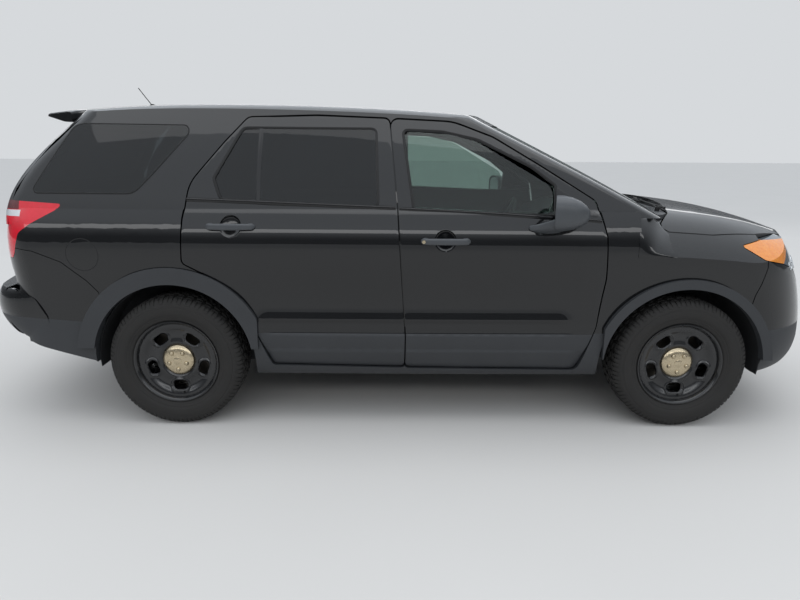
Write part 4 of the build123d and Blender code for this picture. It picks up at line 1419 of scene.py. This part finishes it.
class Fittings(Assembly):
    """Glass, lamps, mirrors, wipers, aerial, seals, spoiler, fuel door and the wheel openings' liners."""

    hub_z: float = 0.38
    ray_start: float = 1.4
    skin_reach: float = 0.012

    def glass(self) -> None:
        """Gives each pane its glass."""
        fixed = {"windscreen": "body", "tailgate_glass": "tailgate"}
        for node, finish in (("windscreen", CLEAR_GLASS), ("window_front_right", CLEAR_GLASS),
                             ("window_front_left", CLEAR_GLASS), ("window_rear_right", DARK_GLASS),
                             ("window_rear_left", DARK_GLASS), ("tailgate_glass", DARK_GLASS)):
            body = fixed.get(node, node.replace("window", "door"))
            piece = BodyPanels().copy(node, f"{node}_pane", finish)
            self.seat(piece, body, "clear_glass" if finish is CLEAR_GLASS else "dark_glass", node)

    def lamps(self) -> None:
        """Tail lamps in red with a clear section, and headlamps with an amber end."""
        red = BodyPanels().copy("tail_lamps", "tail_lamp_lenses", RED_LENS)
        self.banded(red, (1.233, 1.290), -2.106, 0.0, DARK_RED_LENS)
        self.banded(red, (1.197, 1.230), -2.094, 0.0, WHITE_LENS)
        self.seat(red, "body", "lamp_red", "tail_lamps")
        head = BodyPanels().copy("front_lamps", "headlamp_lenses", LENS)
        self.banded(head, (0.930, 1.076), 2.075, 0.62, AMBER_LENS)
        self.seat(head, "body", "lamp_clear", "front_lamps")
        tree = ray_tree(head.data)
        for side in Side:
            bowls = []
            for y, z, radius in BOWLS:
                found, normal, _, _ = tree.ray_cast(Vector((3, side.value * y, z)), Vector((-1, 0, 0)))
                bowls.append(self.bowl(f"bowl_{side.word}_{radius}", found, normal, radius))
            self.seat(joined(f"headlamp_bowls_{side.word}", bowls), "body", "lamp_clear")

    def bowl(self, name: str, centre: Vector, normal: Vector, radius: float) -> bpy.types.Object:
        """A round projector in its bezel, flush with the lens.

        Args:
            name: the object's name.
            centre: its middle.
            normal: the way that it faces.
            radius: its radius in millimetres.

        Returns:
            The projector.
        """
        shape = revolve(name, ((0.2, 2.6), (radius * 0.42, 1.8), (radius * 0.5, -2.5), (radius * 0.86, 0.6),
                               (radius * 0.9, 2.2), (radius, 1.4), (radius, -9), (0.2, -9)), (0, 0, 0),
                               CHROME, 48)
        shape.data.transform(Matrix.Translation(centre) @ normal.to_track_quat("Y", "Z").to_matrix().to_4x4())
        return shape

    def banded(self, piece: bpy.types.Object, band: tuple, ahead: float, lean: float, finish: Finish) -> None:
        """Gives the faces of one band their own finish.

        Args:
            piece: the object.
            band: the band's lowest and highest point.
            ahead: the band's front end, at its foot.
            lean: how far that end leans ahead for its height.
            finish: their finish.
        """
        number = len(piece.data.materials)
        with edited(piece.data) as form:
            for level in band:
                cut(form, (0, 0, level), (0, 0, 1))
            cut(form, (ahead, 0, band[0]), Vector((1, 0, -lean)).normalized())
            for face in form.faces:
                middle = face.calc_center_median()
                if band[0] < middle.z < band[1] and middle.x < ahead + lean * (middle.z - band[0]):
                    face.material_index = number
        piece.data.materials.append(finish.material())

    def mirrors(self) -> None:
        """The outside mirrors: a shell that narrows ahead, a wide arm, and a glass turned to the driver."""
        # Each ring of the shell: its middle, its lean along X, half its width and half its height
        shell_rings = ((0.7705, 1.080, 1.246, 0.026, 0.084, 0.074),
                       (0.7600, 1.080, 1.246, 0.026, 0.092, 0.082),
                       (0.7580, 1.080, 1.246, 0.024, 0.098, 0.088),
                       (0.7660, 1.079, 1.246, 0.022, 0.101, 0.090),
                       (0.8000, 1.077, 1.246, 0.014, 0.103, 0.089),
                       (0.8400, 1.076, 1.245, 0.006, 0.100, 0.082),
                       (0.8750, 1.074, 1.243, 0.0, 0.092, 0.069), (0.9050, 1.072, 1.241, 0.0, 0.076, 0.050),
                       (0.9240, 1.070, 1.240, 0.0, 0.052, 0.030), (0.9320, 1.068, 1.239, 0.0, 0.026, 0.014))
        arm_rings = ((0.930, 0.722, 1.146, 0.078, 0.019), (0.985, 0.728, 1.150, 0.078, 0.022),
                     (1.012, 0.752, 1.160, 0.066, 0.025), (1.045, 0.788, 1.178, 0.048, 0.029),
                     (1.080, 0.810, 1.196, 0.036, 0.030))
        for side in Side:
            y = side.value
            rings = [oval_ring(Vector((x, y * place, z)), Vector((-lean, y * wide, 0)), Vector((0, 0, tall)),
                               2.9, 40)
                     for x, place, z, lean, wide, tall in shell_rings]
            shell = loft(f"mirror_shell_{side.word}", rings, SATIN_PLASTIC, caps=True)
            rings = [oval_ring(Vector((x, y * place, z)), Vector((wide, 0, -0.006)), Vector((0, 0, tall)),
                               2.6, 28)
                     for place, x, z, wide, tall in arm_rings]
            arm = loft(f"mirror_arm_{side.word}", rings, SATIN_PLASTIC, caps=True)
            rings = [oval_ring(Vector((x, y * 1.080, 1.246)), Vector((-0.026, y * 0.082, 0)),
                               Vector((0, 0, 0.072)),
                               2.9, 40) for x in (0.774, 0.7695)]
            glass = loft(f"mirror_glass_{side.word}", rings, CHROME, caps=True)
            self.seat(joined(f"outside_mirror_{side.word}", [shell, arm, glass]), f"door_front_{side.word}",
                      PLASTIC_SLOT, f"mirror_{side.word}")

    def screen_parts(self) -> None:
        """Wipers and the roof aerial."""
        parts = []
        for number, (start, end) in enumerate(WIPERS):
            pivot = (*start, 1.222)
            parts.append(tube(f"wiper_arm_{number}", [pivot, (start[0] + 0.005, start[1] + 0.08, 1.236),
                                                      (*end, 1.240)], 0.0055, RUBBER, 8))
            parts.append(tube(f"wiper_hub_{number}", [(*start, 1.207), (*start, 1.232)], 0.014, RUBBER, 16))
            parts.append(tube(f"wiper_blade_{number}", [(end[0] - 0.006, start[1] - 0.02, 1.228),
                                                        (end[0] + 0.004, (start[1] + end[1]) / 2 + 0.06,
                                                         1.232),
                                                        (end[0] - 0.006, end[1] + 0.16, 1.232)], 0.006,
                                                        RUBBER, 8))
        self.seat(joined("wiper_set", parts), "body", PLASTIC_SLOT, "wipers")
        foot = loft("aerial_foot", [oval_ring(Vector((-1.680 + lean, 0, z)), Vector((long, 0, 0)),
                                              Vector((0, long * 0.7, 0)), 2.2, 28)
                                    for z, long, lean in ((1.800, 0.030, 0), (1.810, 0.029, 0),
                                                          (1.822, 0.022, -0.002),
                                                          (1.834, 0.010, -0.008))], RUBBER, caps=True)
        whip = tube("aerial_whip", [(-1.688, 0, 1.826), (-1.722, 0, 1.87), (-1.769, 0, 1.9345)], 0.0028,
                    RUBBER, 10)
        self.seat(joined("roof_aerial", [foot, whip]), "body", PLASTIC_SLOT, "antenna")

    def surface(self, name: str, side: Side) -> Height:
        """Reads how far out a finished piece stands.

        Args:
            name: the piece.
            side: the side to read it from.

        Returns:
            A height that falls back to the skin where the piece is open or far within it.
        """
        tree = ray_tree(bpy.data.objects[name].data)

        def read(x: np.ndarray, z: np.ndarray) -> np.ndarray:
            """Reads the piece at each place.

            Args:
                x: places along the car.
                z: heights.

            Returns:
                The distance from the middle at each.
            """
            out = np.array(skin(x, z), float)
            for at, (place, level) in enumerate(zip(x, z)):
                start = Vector((place, side.value * self.ray_start, level))
                found = tree.ray_cast(start, Vector((0, -side.value, 0)))[0]
                if found is not None and abs(abs(found.y) - out[at]) < self.skin_reach:
                    out[at] = abs(found.y)
            return out

        return read

    def quarters(self) -> None:
        """The rear quarter's glued pane with its black border, and the fuel door's seam."""
        outline = rounded(((-2046, 1318, 22), (-1846, 1676, 70), (-1790, 1686, 40), (-1212, 1680, 26),
                           (-1200, 1636, 60), (-1392, 1412, 260), (-1480, 1318, 90)), 0.02)
        panes = []
        for side in Side:
            panes.append(sheet_on(f"quarter_pane_{side.word}", side, [outline],
                                  lambda x, z: skin(x, z) + 0.0022,
                                  0.005, DARK_GLASS, spacing=0.04, roll=0.0))
            seal = trim_on(f"quarter_seal_{side.word}", side, outline, skin, 0.009, 0.003, RUBBER)
            self.seat(seal, "body", PLASTIC_SLOT)
            seam = trim_on(f"fuel_door_seam_{side.word}", side, circle(-1.757, 0.997, 0.088, 72),
                           self.surface(f"side_panel_{side.word}", side), 0.0045, 0.0005, RUBBER)
            if side is Side.RIGHT:
                self.seat(seam, "body", PAINT_SLOT)
            else:
                bpy.data.objects.remove(seam)
        self.seat(joined("quarter_panes", panes), "body", "dark_glass", "quarter_glasses")

    def wing_corners(self) -> None:
        """The wings' rear top corners, which ease from the upright side into the shoulder's slope."""
        outline = rounded(((1243, 1000, 4), (1500, 1000, 4), (1500, 1082, 10), (1436, 1116, 30),
                           (1392, 1176, 30), (1352, 1206, 20), (1243, 1206, 3)), 0.012)

        def height(x: np.ndarray, z: np.ndarray) -> np.ndarray:
            """The side, drawn in to the shoulder's slope along its length."""
            rise = np.clip(z - (1.022 - 0.11 * (x - 1.30)), 0, None)
            return skin(x, z) - 1.01 * rise * ramp(x, 1.235, 1.475) + 0.0012

        for side in Side:
            corner = sheet_on(f"wing_corner_{side.word}", side, [outline], height, 0.05, PAINT, roll=0.003)
            self.seat(corner, "body", PAINT_SLOT)

    def weatherstrips(self) -> None:
        """Rubber strips behind the gaps over the doors, and along the windscreen's sides."""
        lines = (((-0.098, 1.722), (0.08, 1.722), (0.25, 1.709), (0.36, 1.673), (0.472, 1.627), (0.60, 1.554),
                  (0.718, 1.481), (0.87, 1.384), (1.018, 1.292)),
                 ((-0.104, 1.726), (-0.50, 1.736), (-0.86, 1.727), (-0.93, 1.672), (-1.0, 1.594),
                  (-1.10, 1.470),
                  (-1.175, 1.376)))
        for side in Side:
            strips = []
            for line in lines:
                points = np.array(line)
                along = np.linspace(0, len(points) - 1, 60)
                even = np.stack([np.interp(along, range(len(points)), points[:, at]) for at in (0, 1)], 1)
                strips.append(trim_on(f"strip_{side.word}", side, even, lambda x, z: skin(x, z) - 0.041,
                                      0.034, 0.005,
                                      RUBBER, False))
            self.seat(joined(f"door_weatherstrips_{side.word}", strips), "body", PLASTIC_SLOT)

    def spoiler(self) -> None:
        """The tailgate's spoiler: a blade that thins and falls to the rear."""
        section = rounded(((-1905, 1692, 6), (-1905, 1762, 14), (-2062, 1743, 8), (-2070, 1730, 5),
                           (-1955, 1693, 60)),
                          0.012)
        rings = []
        for share in np.linspace(-1, 1, 25):
            end = max(0.0, abs(share) - 0.94) / 0.06
            rise, sweep = 0.034 * (1 - share * share), 0.024 * (1 - share * share)
            middle = section.mean(0)
            ring = middle + (section - middle) * (1 - 0.18 * end ** 2)
            reach = np.clip((-1.905 - ring[:, 0]) / 0.16, 0, 1)
            rings.append(np.stack([ring[:, 0] - sweep * reach, np.full(len(ring), 0.598 * share),
                                   ring[:, 1] + rise], 1))
        blade = loft("roof_spoiler", rings, PAINT, caps=True)
        self.seat(blade, "tailgate", PAINT_SLOT, "spoiler")

    def liners(self) -> None:
        """The plastic liners inside the four wheel openings, each with its inner wall."""
        for side in Side:
            for arch in ARCHES:
                near, far = side.value * arch.inner, side.value * arch.outer
                rings = []
                for degrees in np.linspace(arch.first, 180 - arch.first, 49):
                    way = Vector((math.cos(math.radians(degrees)), 0, math.sin(math.radians(degrees))))
                    x, z = arch.axle + arch.radius * way.x, self.hub_z + arch.radius * way.z
                    thick = way * 0.004
                    rings.append(np.array([(x, near, z), (x, far, z), (x + thick.x, far, z + thick.z),
                                           (x + thick.x, near, z + thick.z)]))
                rings = [ring for ring in rings if ring[:, 2].min() > 0.30]
                liner = loft(f"arch_liner_{arch.place}_{side.word}", rings, CARPET, caps=True)
                angles = np.radians(np.linspace(-9, 189, 60))
                loop = np.stack([arch.axle + arch.wall * np.cos(angles),
                                 self.hub_z + arch.wall * np.sin(angles)], 1)
                wall = sheet_on(f"arch_wall_{arch.place}_{side.word}", side, [loop],
                                lambda x, z, flat=arch.inner: np.full(np.shape(x), flat), 0.003, CARPET, 0.09,
                                roll=0.0)
                self.seat(joined(f"wheelhouse_liner_{arch.place}_{side.word}", [liner, wall]), "body",
                          PLASTIC_SLOT)

    def build(self) -> None:
        """Makes every fitting."""
        self.glass()
        self.lamps()
        self.mirrors()
        self.screen_parts()
        self.quarters()
        self.wing_corners()
        self.weatherstrips()
        self.spoiler()
        self.liners()


# The cabin

AIR_PRESSURE = 4.0
SWELL_FRAMES = 20
SWELL_LIMIT = 0.018
PAD_GRID = 0.014
SEAM_DEPTH = 0.011
SEAM_WIDTH = 0.007


@dataclass(frozen=True)
class Cushion:
    """One padded block of a seat: its middle, size and lean, in metres and degrees."""

    name: str
    middle: tuple
    size: tuple
    lean: float = 0.0
    channels: tuple = ()

    def build(self) -> bpy.types.Object:
        """Makes the pad, swells it and sews its channels.

        Returns:
            The pad.
        """
        half = [length / 2 for length in self.size]
        pad = block(self.name, [-h + 0.008 for h in half], [h - 0.008 for h in half], CLOTH,
                    min(self.size) * 0.28, 5)
        remesh = pad.modifiers.new("even", "REMESH")
        remesh.mode, remesh.voxel_size = "VOXEL", PAD_GRID
        pad = baked(pad)
        start = points_of(pad.data)
        self.swell(pad, start)
        self.sew(pad)
        turn = Matrix.Translation(self.middle) @ Matrix.Rotation(math.radians(self.lean), 4, "Y")
        pad.data.transform(turn)
        dress(pad, CLOTH.material())
        pad.data.shade_smooth()
        return pad

    def swell(self, pad: bpy.types.Object, start: np.ndarray) -> None:
        """Lets cloth with air behind it swell the pad, up to the limit.

        Args:
            pad: the pad's object.
            start: its points before.
        """
        cloth = pad.modifiers.new("cloth", "CLOTH")
        cloth.settings.use_pressure = True
        cloth.settings.uniform_pressure_force = AIR_PRESSURE
        cloth.settings.effector_weights.gravity = 0.0
        cloth.settings.quality = 4
        cloth.point_cache.frame_end = SWELL_FRAMES
        for number in range(1, SWELL_FRAMES + 1):
            bpy.context.scene.frame_set(number)
            bpy.context.view_layer.update()
        evaluated = pad.evaluated_get(bpy.context.evaluated_depsgraph_get())
        moved = points_of(evaluated.data)
        pad.modifiers.clear()
        bpy.context.scene.frame_set(1)
        if moved.shape != start.shape or not np.isfinite(moved).all():
            return
        shift = moved - start
        length = np.linalg.norm(shift, axis=1, keepdims=True)
        shift *= np.minimum(1, SWELL_LIMIT / np.maximum(length, 1e-9))
        for vertex, point in zip(pad.data.vertices, start + shift):
            vertex.co = point

    def sew(self, pad: bpy.types.Object) -> None:
        """Smooths the pad and presses its sewn channels in.

        Args:
            pad: the pad's object.
        """
        finer = pad.modifiers.new("finer", "SUBSURF")
        finer.levels = finer.render_levels = 1
        baked(pad)
        mesh = pad.data
        points = points_of(mesh)
        normals = np.array([tuple(v.normal) for v in mesh.vertices])
        for axis, place in self.channels:
            press = SEAM_DEPTH * np.exp(-((points[:, axis] - place) / SEAM_WIDTH) ** 2)
            points = points - normals * press[:, None]
        limit = np.array(self.size) / 2
        points = np.clip(points, -limit, limit)
        for vertex, point in zip(mesh.vertices, points):
            vertex.co = point


class Cabin(Assembly):
    """The seats and the steering wheel."""

    def pad(self, cushion: Cushion) -> None:
        """Makes one padded block and seats it."""
        piece = cushion.build()
        self.seat(piece, "body", "seat_cloth")

    def seats(self) -> None:
        """Padded seats over their plastic bases."""
        for side in Side:
            y = side.value * 0.395
            pads = (Cushion(f"seat_cushion_{side.word}", (0.245, y, 0.625), (0.50, 0.49, 0.13), -4,
                            ((1, -0.15), (1, 0.15), (0, 0.08))),
                    Cushion(f"seat_back_{side.word}", (-0.072, y, 0.925), (0.125, 0.49, 0.56), -12,
                            ((1, -0.15), (1, 0.15), (2, 0.02))),
                    Cushion(f"seat_headrest_{side.word}", (-0.13, y, 1.320), (0.105, 0.245, 0.185), -6))
            for cushion in pads:
                self.pad(cushion)
            stays = [tube(f"stay_{side.word}_{number}",
                          [(-0.128, y + shift, 1.18), (-0.130, y + shift, 1.26)], 0.006,
                          STAINLESS, 10) for number, shift in enumerate((-0.06, 0.06))]
            base = block(f"seat_base_{side.word}", (-0.03, y - 0.20, 0.327), (0.42, y + 0.20, 0.565),
                         DASH_SKIN, 0.02)
            self.seat(joined(f"seat_frame_{side.word}", [*stays, base]), "body", "interior_plastic",
                      "front_seats")
        pads = (Cushion("bench_cushion", (-0.60, 0, 0.632), (0.44, 1.25, 0.14), -5, ((1, -0.2), (1, 0.2))),
                Cushion("bench_back", (-0.935, 0, 0.95), (0.125, 1.25, 0.60), -15,
                        ((1, -0.2), (1, 0.2), (2, 0.05))))
        for cushion in pads:
            self.pad(cushion)
        legs = [block(f"bench_leg_{number}", (-0.69, low, 0.327), (-0.44, low + 0.39, 0.57), DASH_SKIN, 0.01)
                for number, low in enumerate((-0.56, 0.17))]
        self.seat(joined("bench_frame", legs), "body", "interior_plastic", "rear_seat")

    def controls(self) -> None:
        """The steering wheel with its hub and spokes."""
        centre, tilt = Vector((0.735, 0.395, 1.023)), math.radians(25)
        turn = Matrix.Translation(centre) @ Matrix.Rotation(-(math.pi / 2 - tilt), 4, "Y") @ Matrix.Rotation(
            math.pi / 2, 4, "Z")
        ring = [(0.184 * math.cos(a), 0.184 * math.sin(a), 0)
                for a in np.linspace(0, 2 * math.pi, 72, endpoint=False)]
        parts = [tube("wheel_rim", ring, 0.0155, DASH_SKIN, 14, shut=True)]
        parts.append(loft("wheel_hub", [oval_ring(Vector((0, 0, z)), Vector((0.066 * grow, 0, 0)),
                                                  Vector((0, 0.060 * grow, 0)), 2.8, 32)
                                        for z, grow in ((-0.022, 0.8), (-0.018, 1), (0.014, 1),
                                                        (0.022, 0.9))],
                          DASH_SKIN, caps=True))
        for number, angle in enumerate((0, 180, 270)):
            spoke = block(f"spoke_{number}", (0.055, -0.017, -0.008), (0.175, 0.017, 0.008), SATIN_PLASTIC,
                          0.006)
            spoke.data.transform(Matrix.Rotation(math.radians(angle), 4, "Z"))
            parts.append(spoke)
        for part in parts:
            part.data.transform(turn)
        self.seat(joined("steering_wheel_dressed", parts), "steering_wheel", "interior_plastic",
                  "steering_wheel")

    def build(self) -> None:
        """Makes the cabin."""
        self.seats()
        self.controls()


class Carried(Assembly):
    """Nodes whose form is right: they get the finish of the real thing."""

    FINISHES = {"floor_pan": CARPET, "dashboard": DASH_SKIN, "front_structure": UNDERCOAT, "engine": ALLOY,
                "knuckle_right": CAST_STEEL, "knuckle_left": CAST_STEEL, "front_subframe": CAST_STEEL,
                "rear_subframe": CAST_STEEL, "driveshaft": CAST_STEEL, "exhaust": EXHAUST,
                "fuel_tank": PLASTIC}

    def build(self) -> None:
        """Dresses each node that still shows."""
        for node, finish in self.FINISHES.items():
            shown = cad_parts[node]
            dress(shown, finish.material())
            LOG.info("%s dressed in %s", node, finish.name)


# Stage

@dataclass(frozen=True)
class Studio:
    """Floor, light and the camera at the photograph's place."""

    lens_mm: float = 27.05
    camera_at: tuple = (-0.038, -4.179, 1.579)
    pitch: float = 14.43
    roll: float = 0.33
    low_light: float = 0.18
    high_light: float = 1.35
    floor_half: float = 60.0

    def floor(self) -> None:
        """A plain pale floor that is seen at its own colour."""
        made = bpy.data.materials.new("pale_studio_floor")
        made.use_nodes = True
        tree = made.node_tree
        shader = tree.nodes["Principled BSDF"]
        place = add_node(tree, "ShaderNodeTexCoord").outputs["Object"]
        cloud = add_node(tree, "ShaderNodeTexNoise", {"Vector": place, "Scale": 0.8})
        tone = add_node(tree, "ShaderNodeMix", {"Factor": cloud.outputs["Fac"], "A": linear("CCCAC7"),
                                                "B": linear("D1CFCC")}, data_type="RGBA")
        tree.links.new(tone.outputs["Result"], shader.inputs["Base Color"])
        shader.inputs["Roughness"].default_value = 0.9
        size = self.floor_half
        corners = [(-size, -size, 0), (size, -size, 0), (size, size, 0), (-size, size, 0)]
        plane = new_object("studio_floor", corners, [(0, 1, 2, 3)], PLASTIC)
        dress(plane, made)

    def world(self) -> None:
        """A pale surround that lights evenly from above and mirrors darker near the ground."""
        scene = bpy.context.scene
        scene.world = scene.world or bpy.data.worlds.new("studio")
        scene.world.use_nodes = True
        tree = scene.world.node_tree
        tree.nodes.clear()
        rays = add_node(tree, "ShaderNodeLightPath").outputs
        seen = add_node(tree, "ShaderNodeMath", {0: rays["Is Camera Ray"], 1: rays["Is Transmission Ray"]},
                        operation="MAXIMUM")
        way = add_node(tree, "ShaderNodeTexCoord").outputs["Generated"]
        up = add_node(tree, "ShaderNodeSeparateXYZ", {"Vector": way}).outputs["Z"]
        level = add_node(tree, "ShaderNodeMapRange", {"Value": up, "From Min": 0.10, "From Max": 0.55,
                                                      "To Min": self.low_light, "To Max": self.high_light},
                         interpolation_type="SMOOTHSTEP")
        lit = add_node(tree, "ShaderNodeBackground",
                       {"Color": linear("DDE3EA"), "Strength": level.outputs["Result"]})
        pale = add_node(tree, "ShaderNodeBackground", {"Color": linear("D6D9DC"), "Strength": 1.0})
        both = add_node(tree, "ShaderNodeMixShader",
                        {0: seen.outputs[0], 1: lit.outputs[0], 2: pale.outputs[0]})
        add_node(tree, "ShaderNodeOutputWorld", {"Surface": both.outputs[0]})

    def lamp(self, name: str, at: Sequence[float], towards: Sequence[float], size: tuple,
             power: float) -> None:
        """One soft box.

        Args:
            name: its name.
            at: where it hangs.
            towards: what it lights.
            size: its width and height.
            power: its power in watts.
        """
        data = bpy.data.lights.new(name, "AREA")
        data.shape, data.size, data.size_y, data.energy = "RECTANGLE", size[0], size[1], power
        made = placed(name, data)
        made.location = at
        made.rotation_euler = (Vector(towards) - Vector(at)).to_track_quat("-Z", "Y").to_euler()

    def build(self) -> None:
        """Makes the stage."""
        self.floor()
        self.world()
        self.lamp("overhead", (0.0, -1.0, 7.0), (0, 0, 0.5), (10.0, 6.0), 160)
        self.lamp("near_side", (0.0, -8.0, 4.4), (0, 0, 0.9), (20.0, 1.0), 150)
        self.lamp("far_side", (0.0, 8.0, 4.4), (0, 0, 0.9), (20.0, 1.0), 90)
        data = bpy.data.cameras.new("photo_camera")
        data.sensor_width, data.lens = 36.0, self.lens_mm
        data.clip_end = 200
        camera = placed("photo_camera", data)
        tilted = Matrix.Rotation(math.radians(90 - self.pitch), 4, "X")
        rolled = Matrix.Rotation(math.radians(self.roll), 4, "Z")
        camera.matrix_world = Matrix.Translation(self.camera_at) @ (tilted @ rolled)
        bpy.context.scene.camera = camera
        bpy.context.scene.view_settings.view_transform = "Standard"


def main() -> None:
    """Builds every group in order."""
    Studio().build()
    BodyPanels().build()
    for side in Side:
        for door in (FRONT_DOOR, REAR_DOOR):
            door.build(side)
        for place, axle in AXLES:
            Wheel().build(place, axle, side)
    Fittings().build()
    Cabin().build()
    Carried().build()


if __name__ == "__main__":
    main()
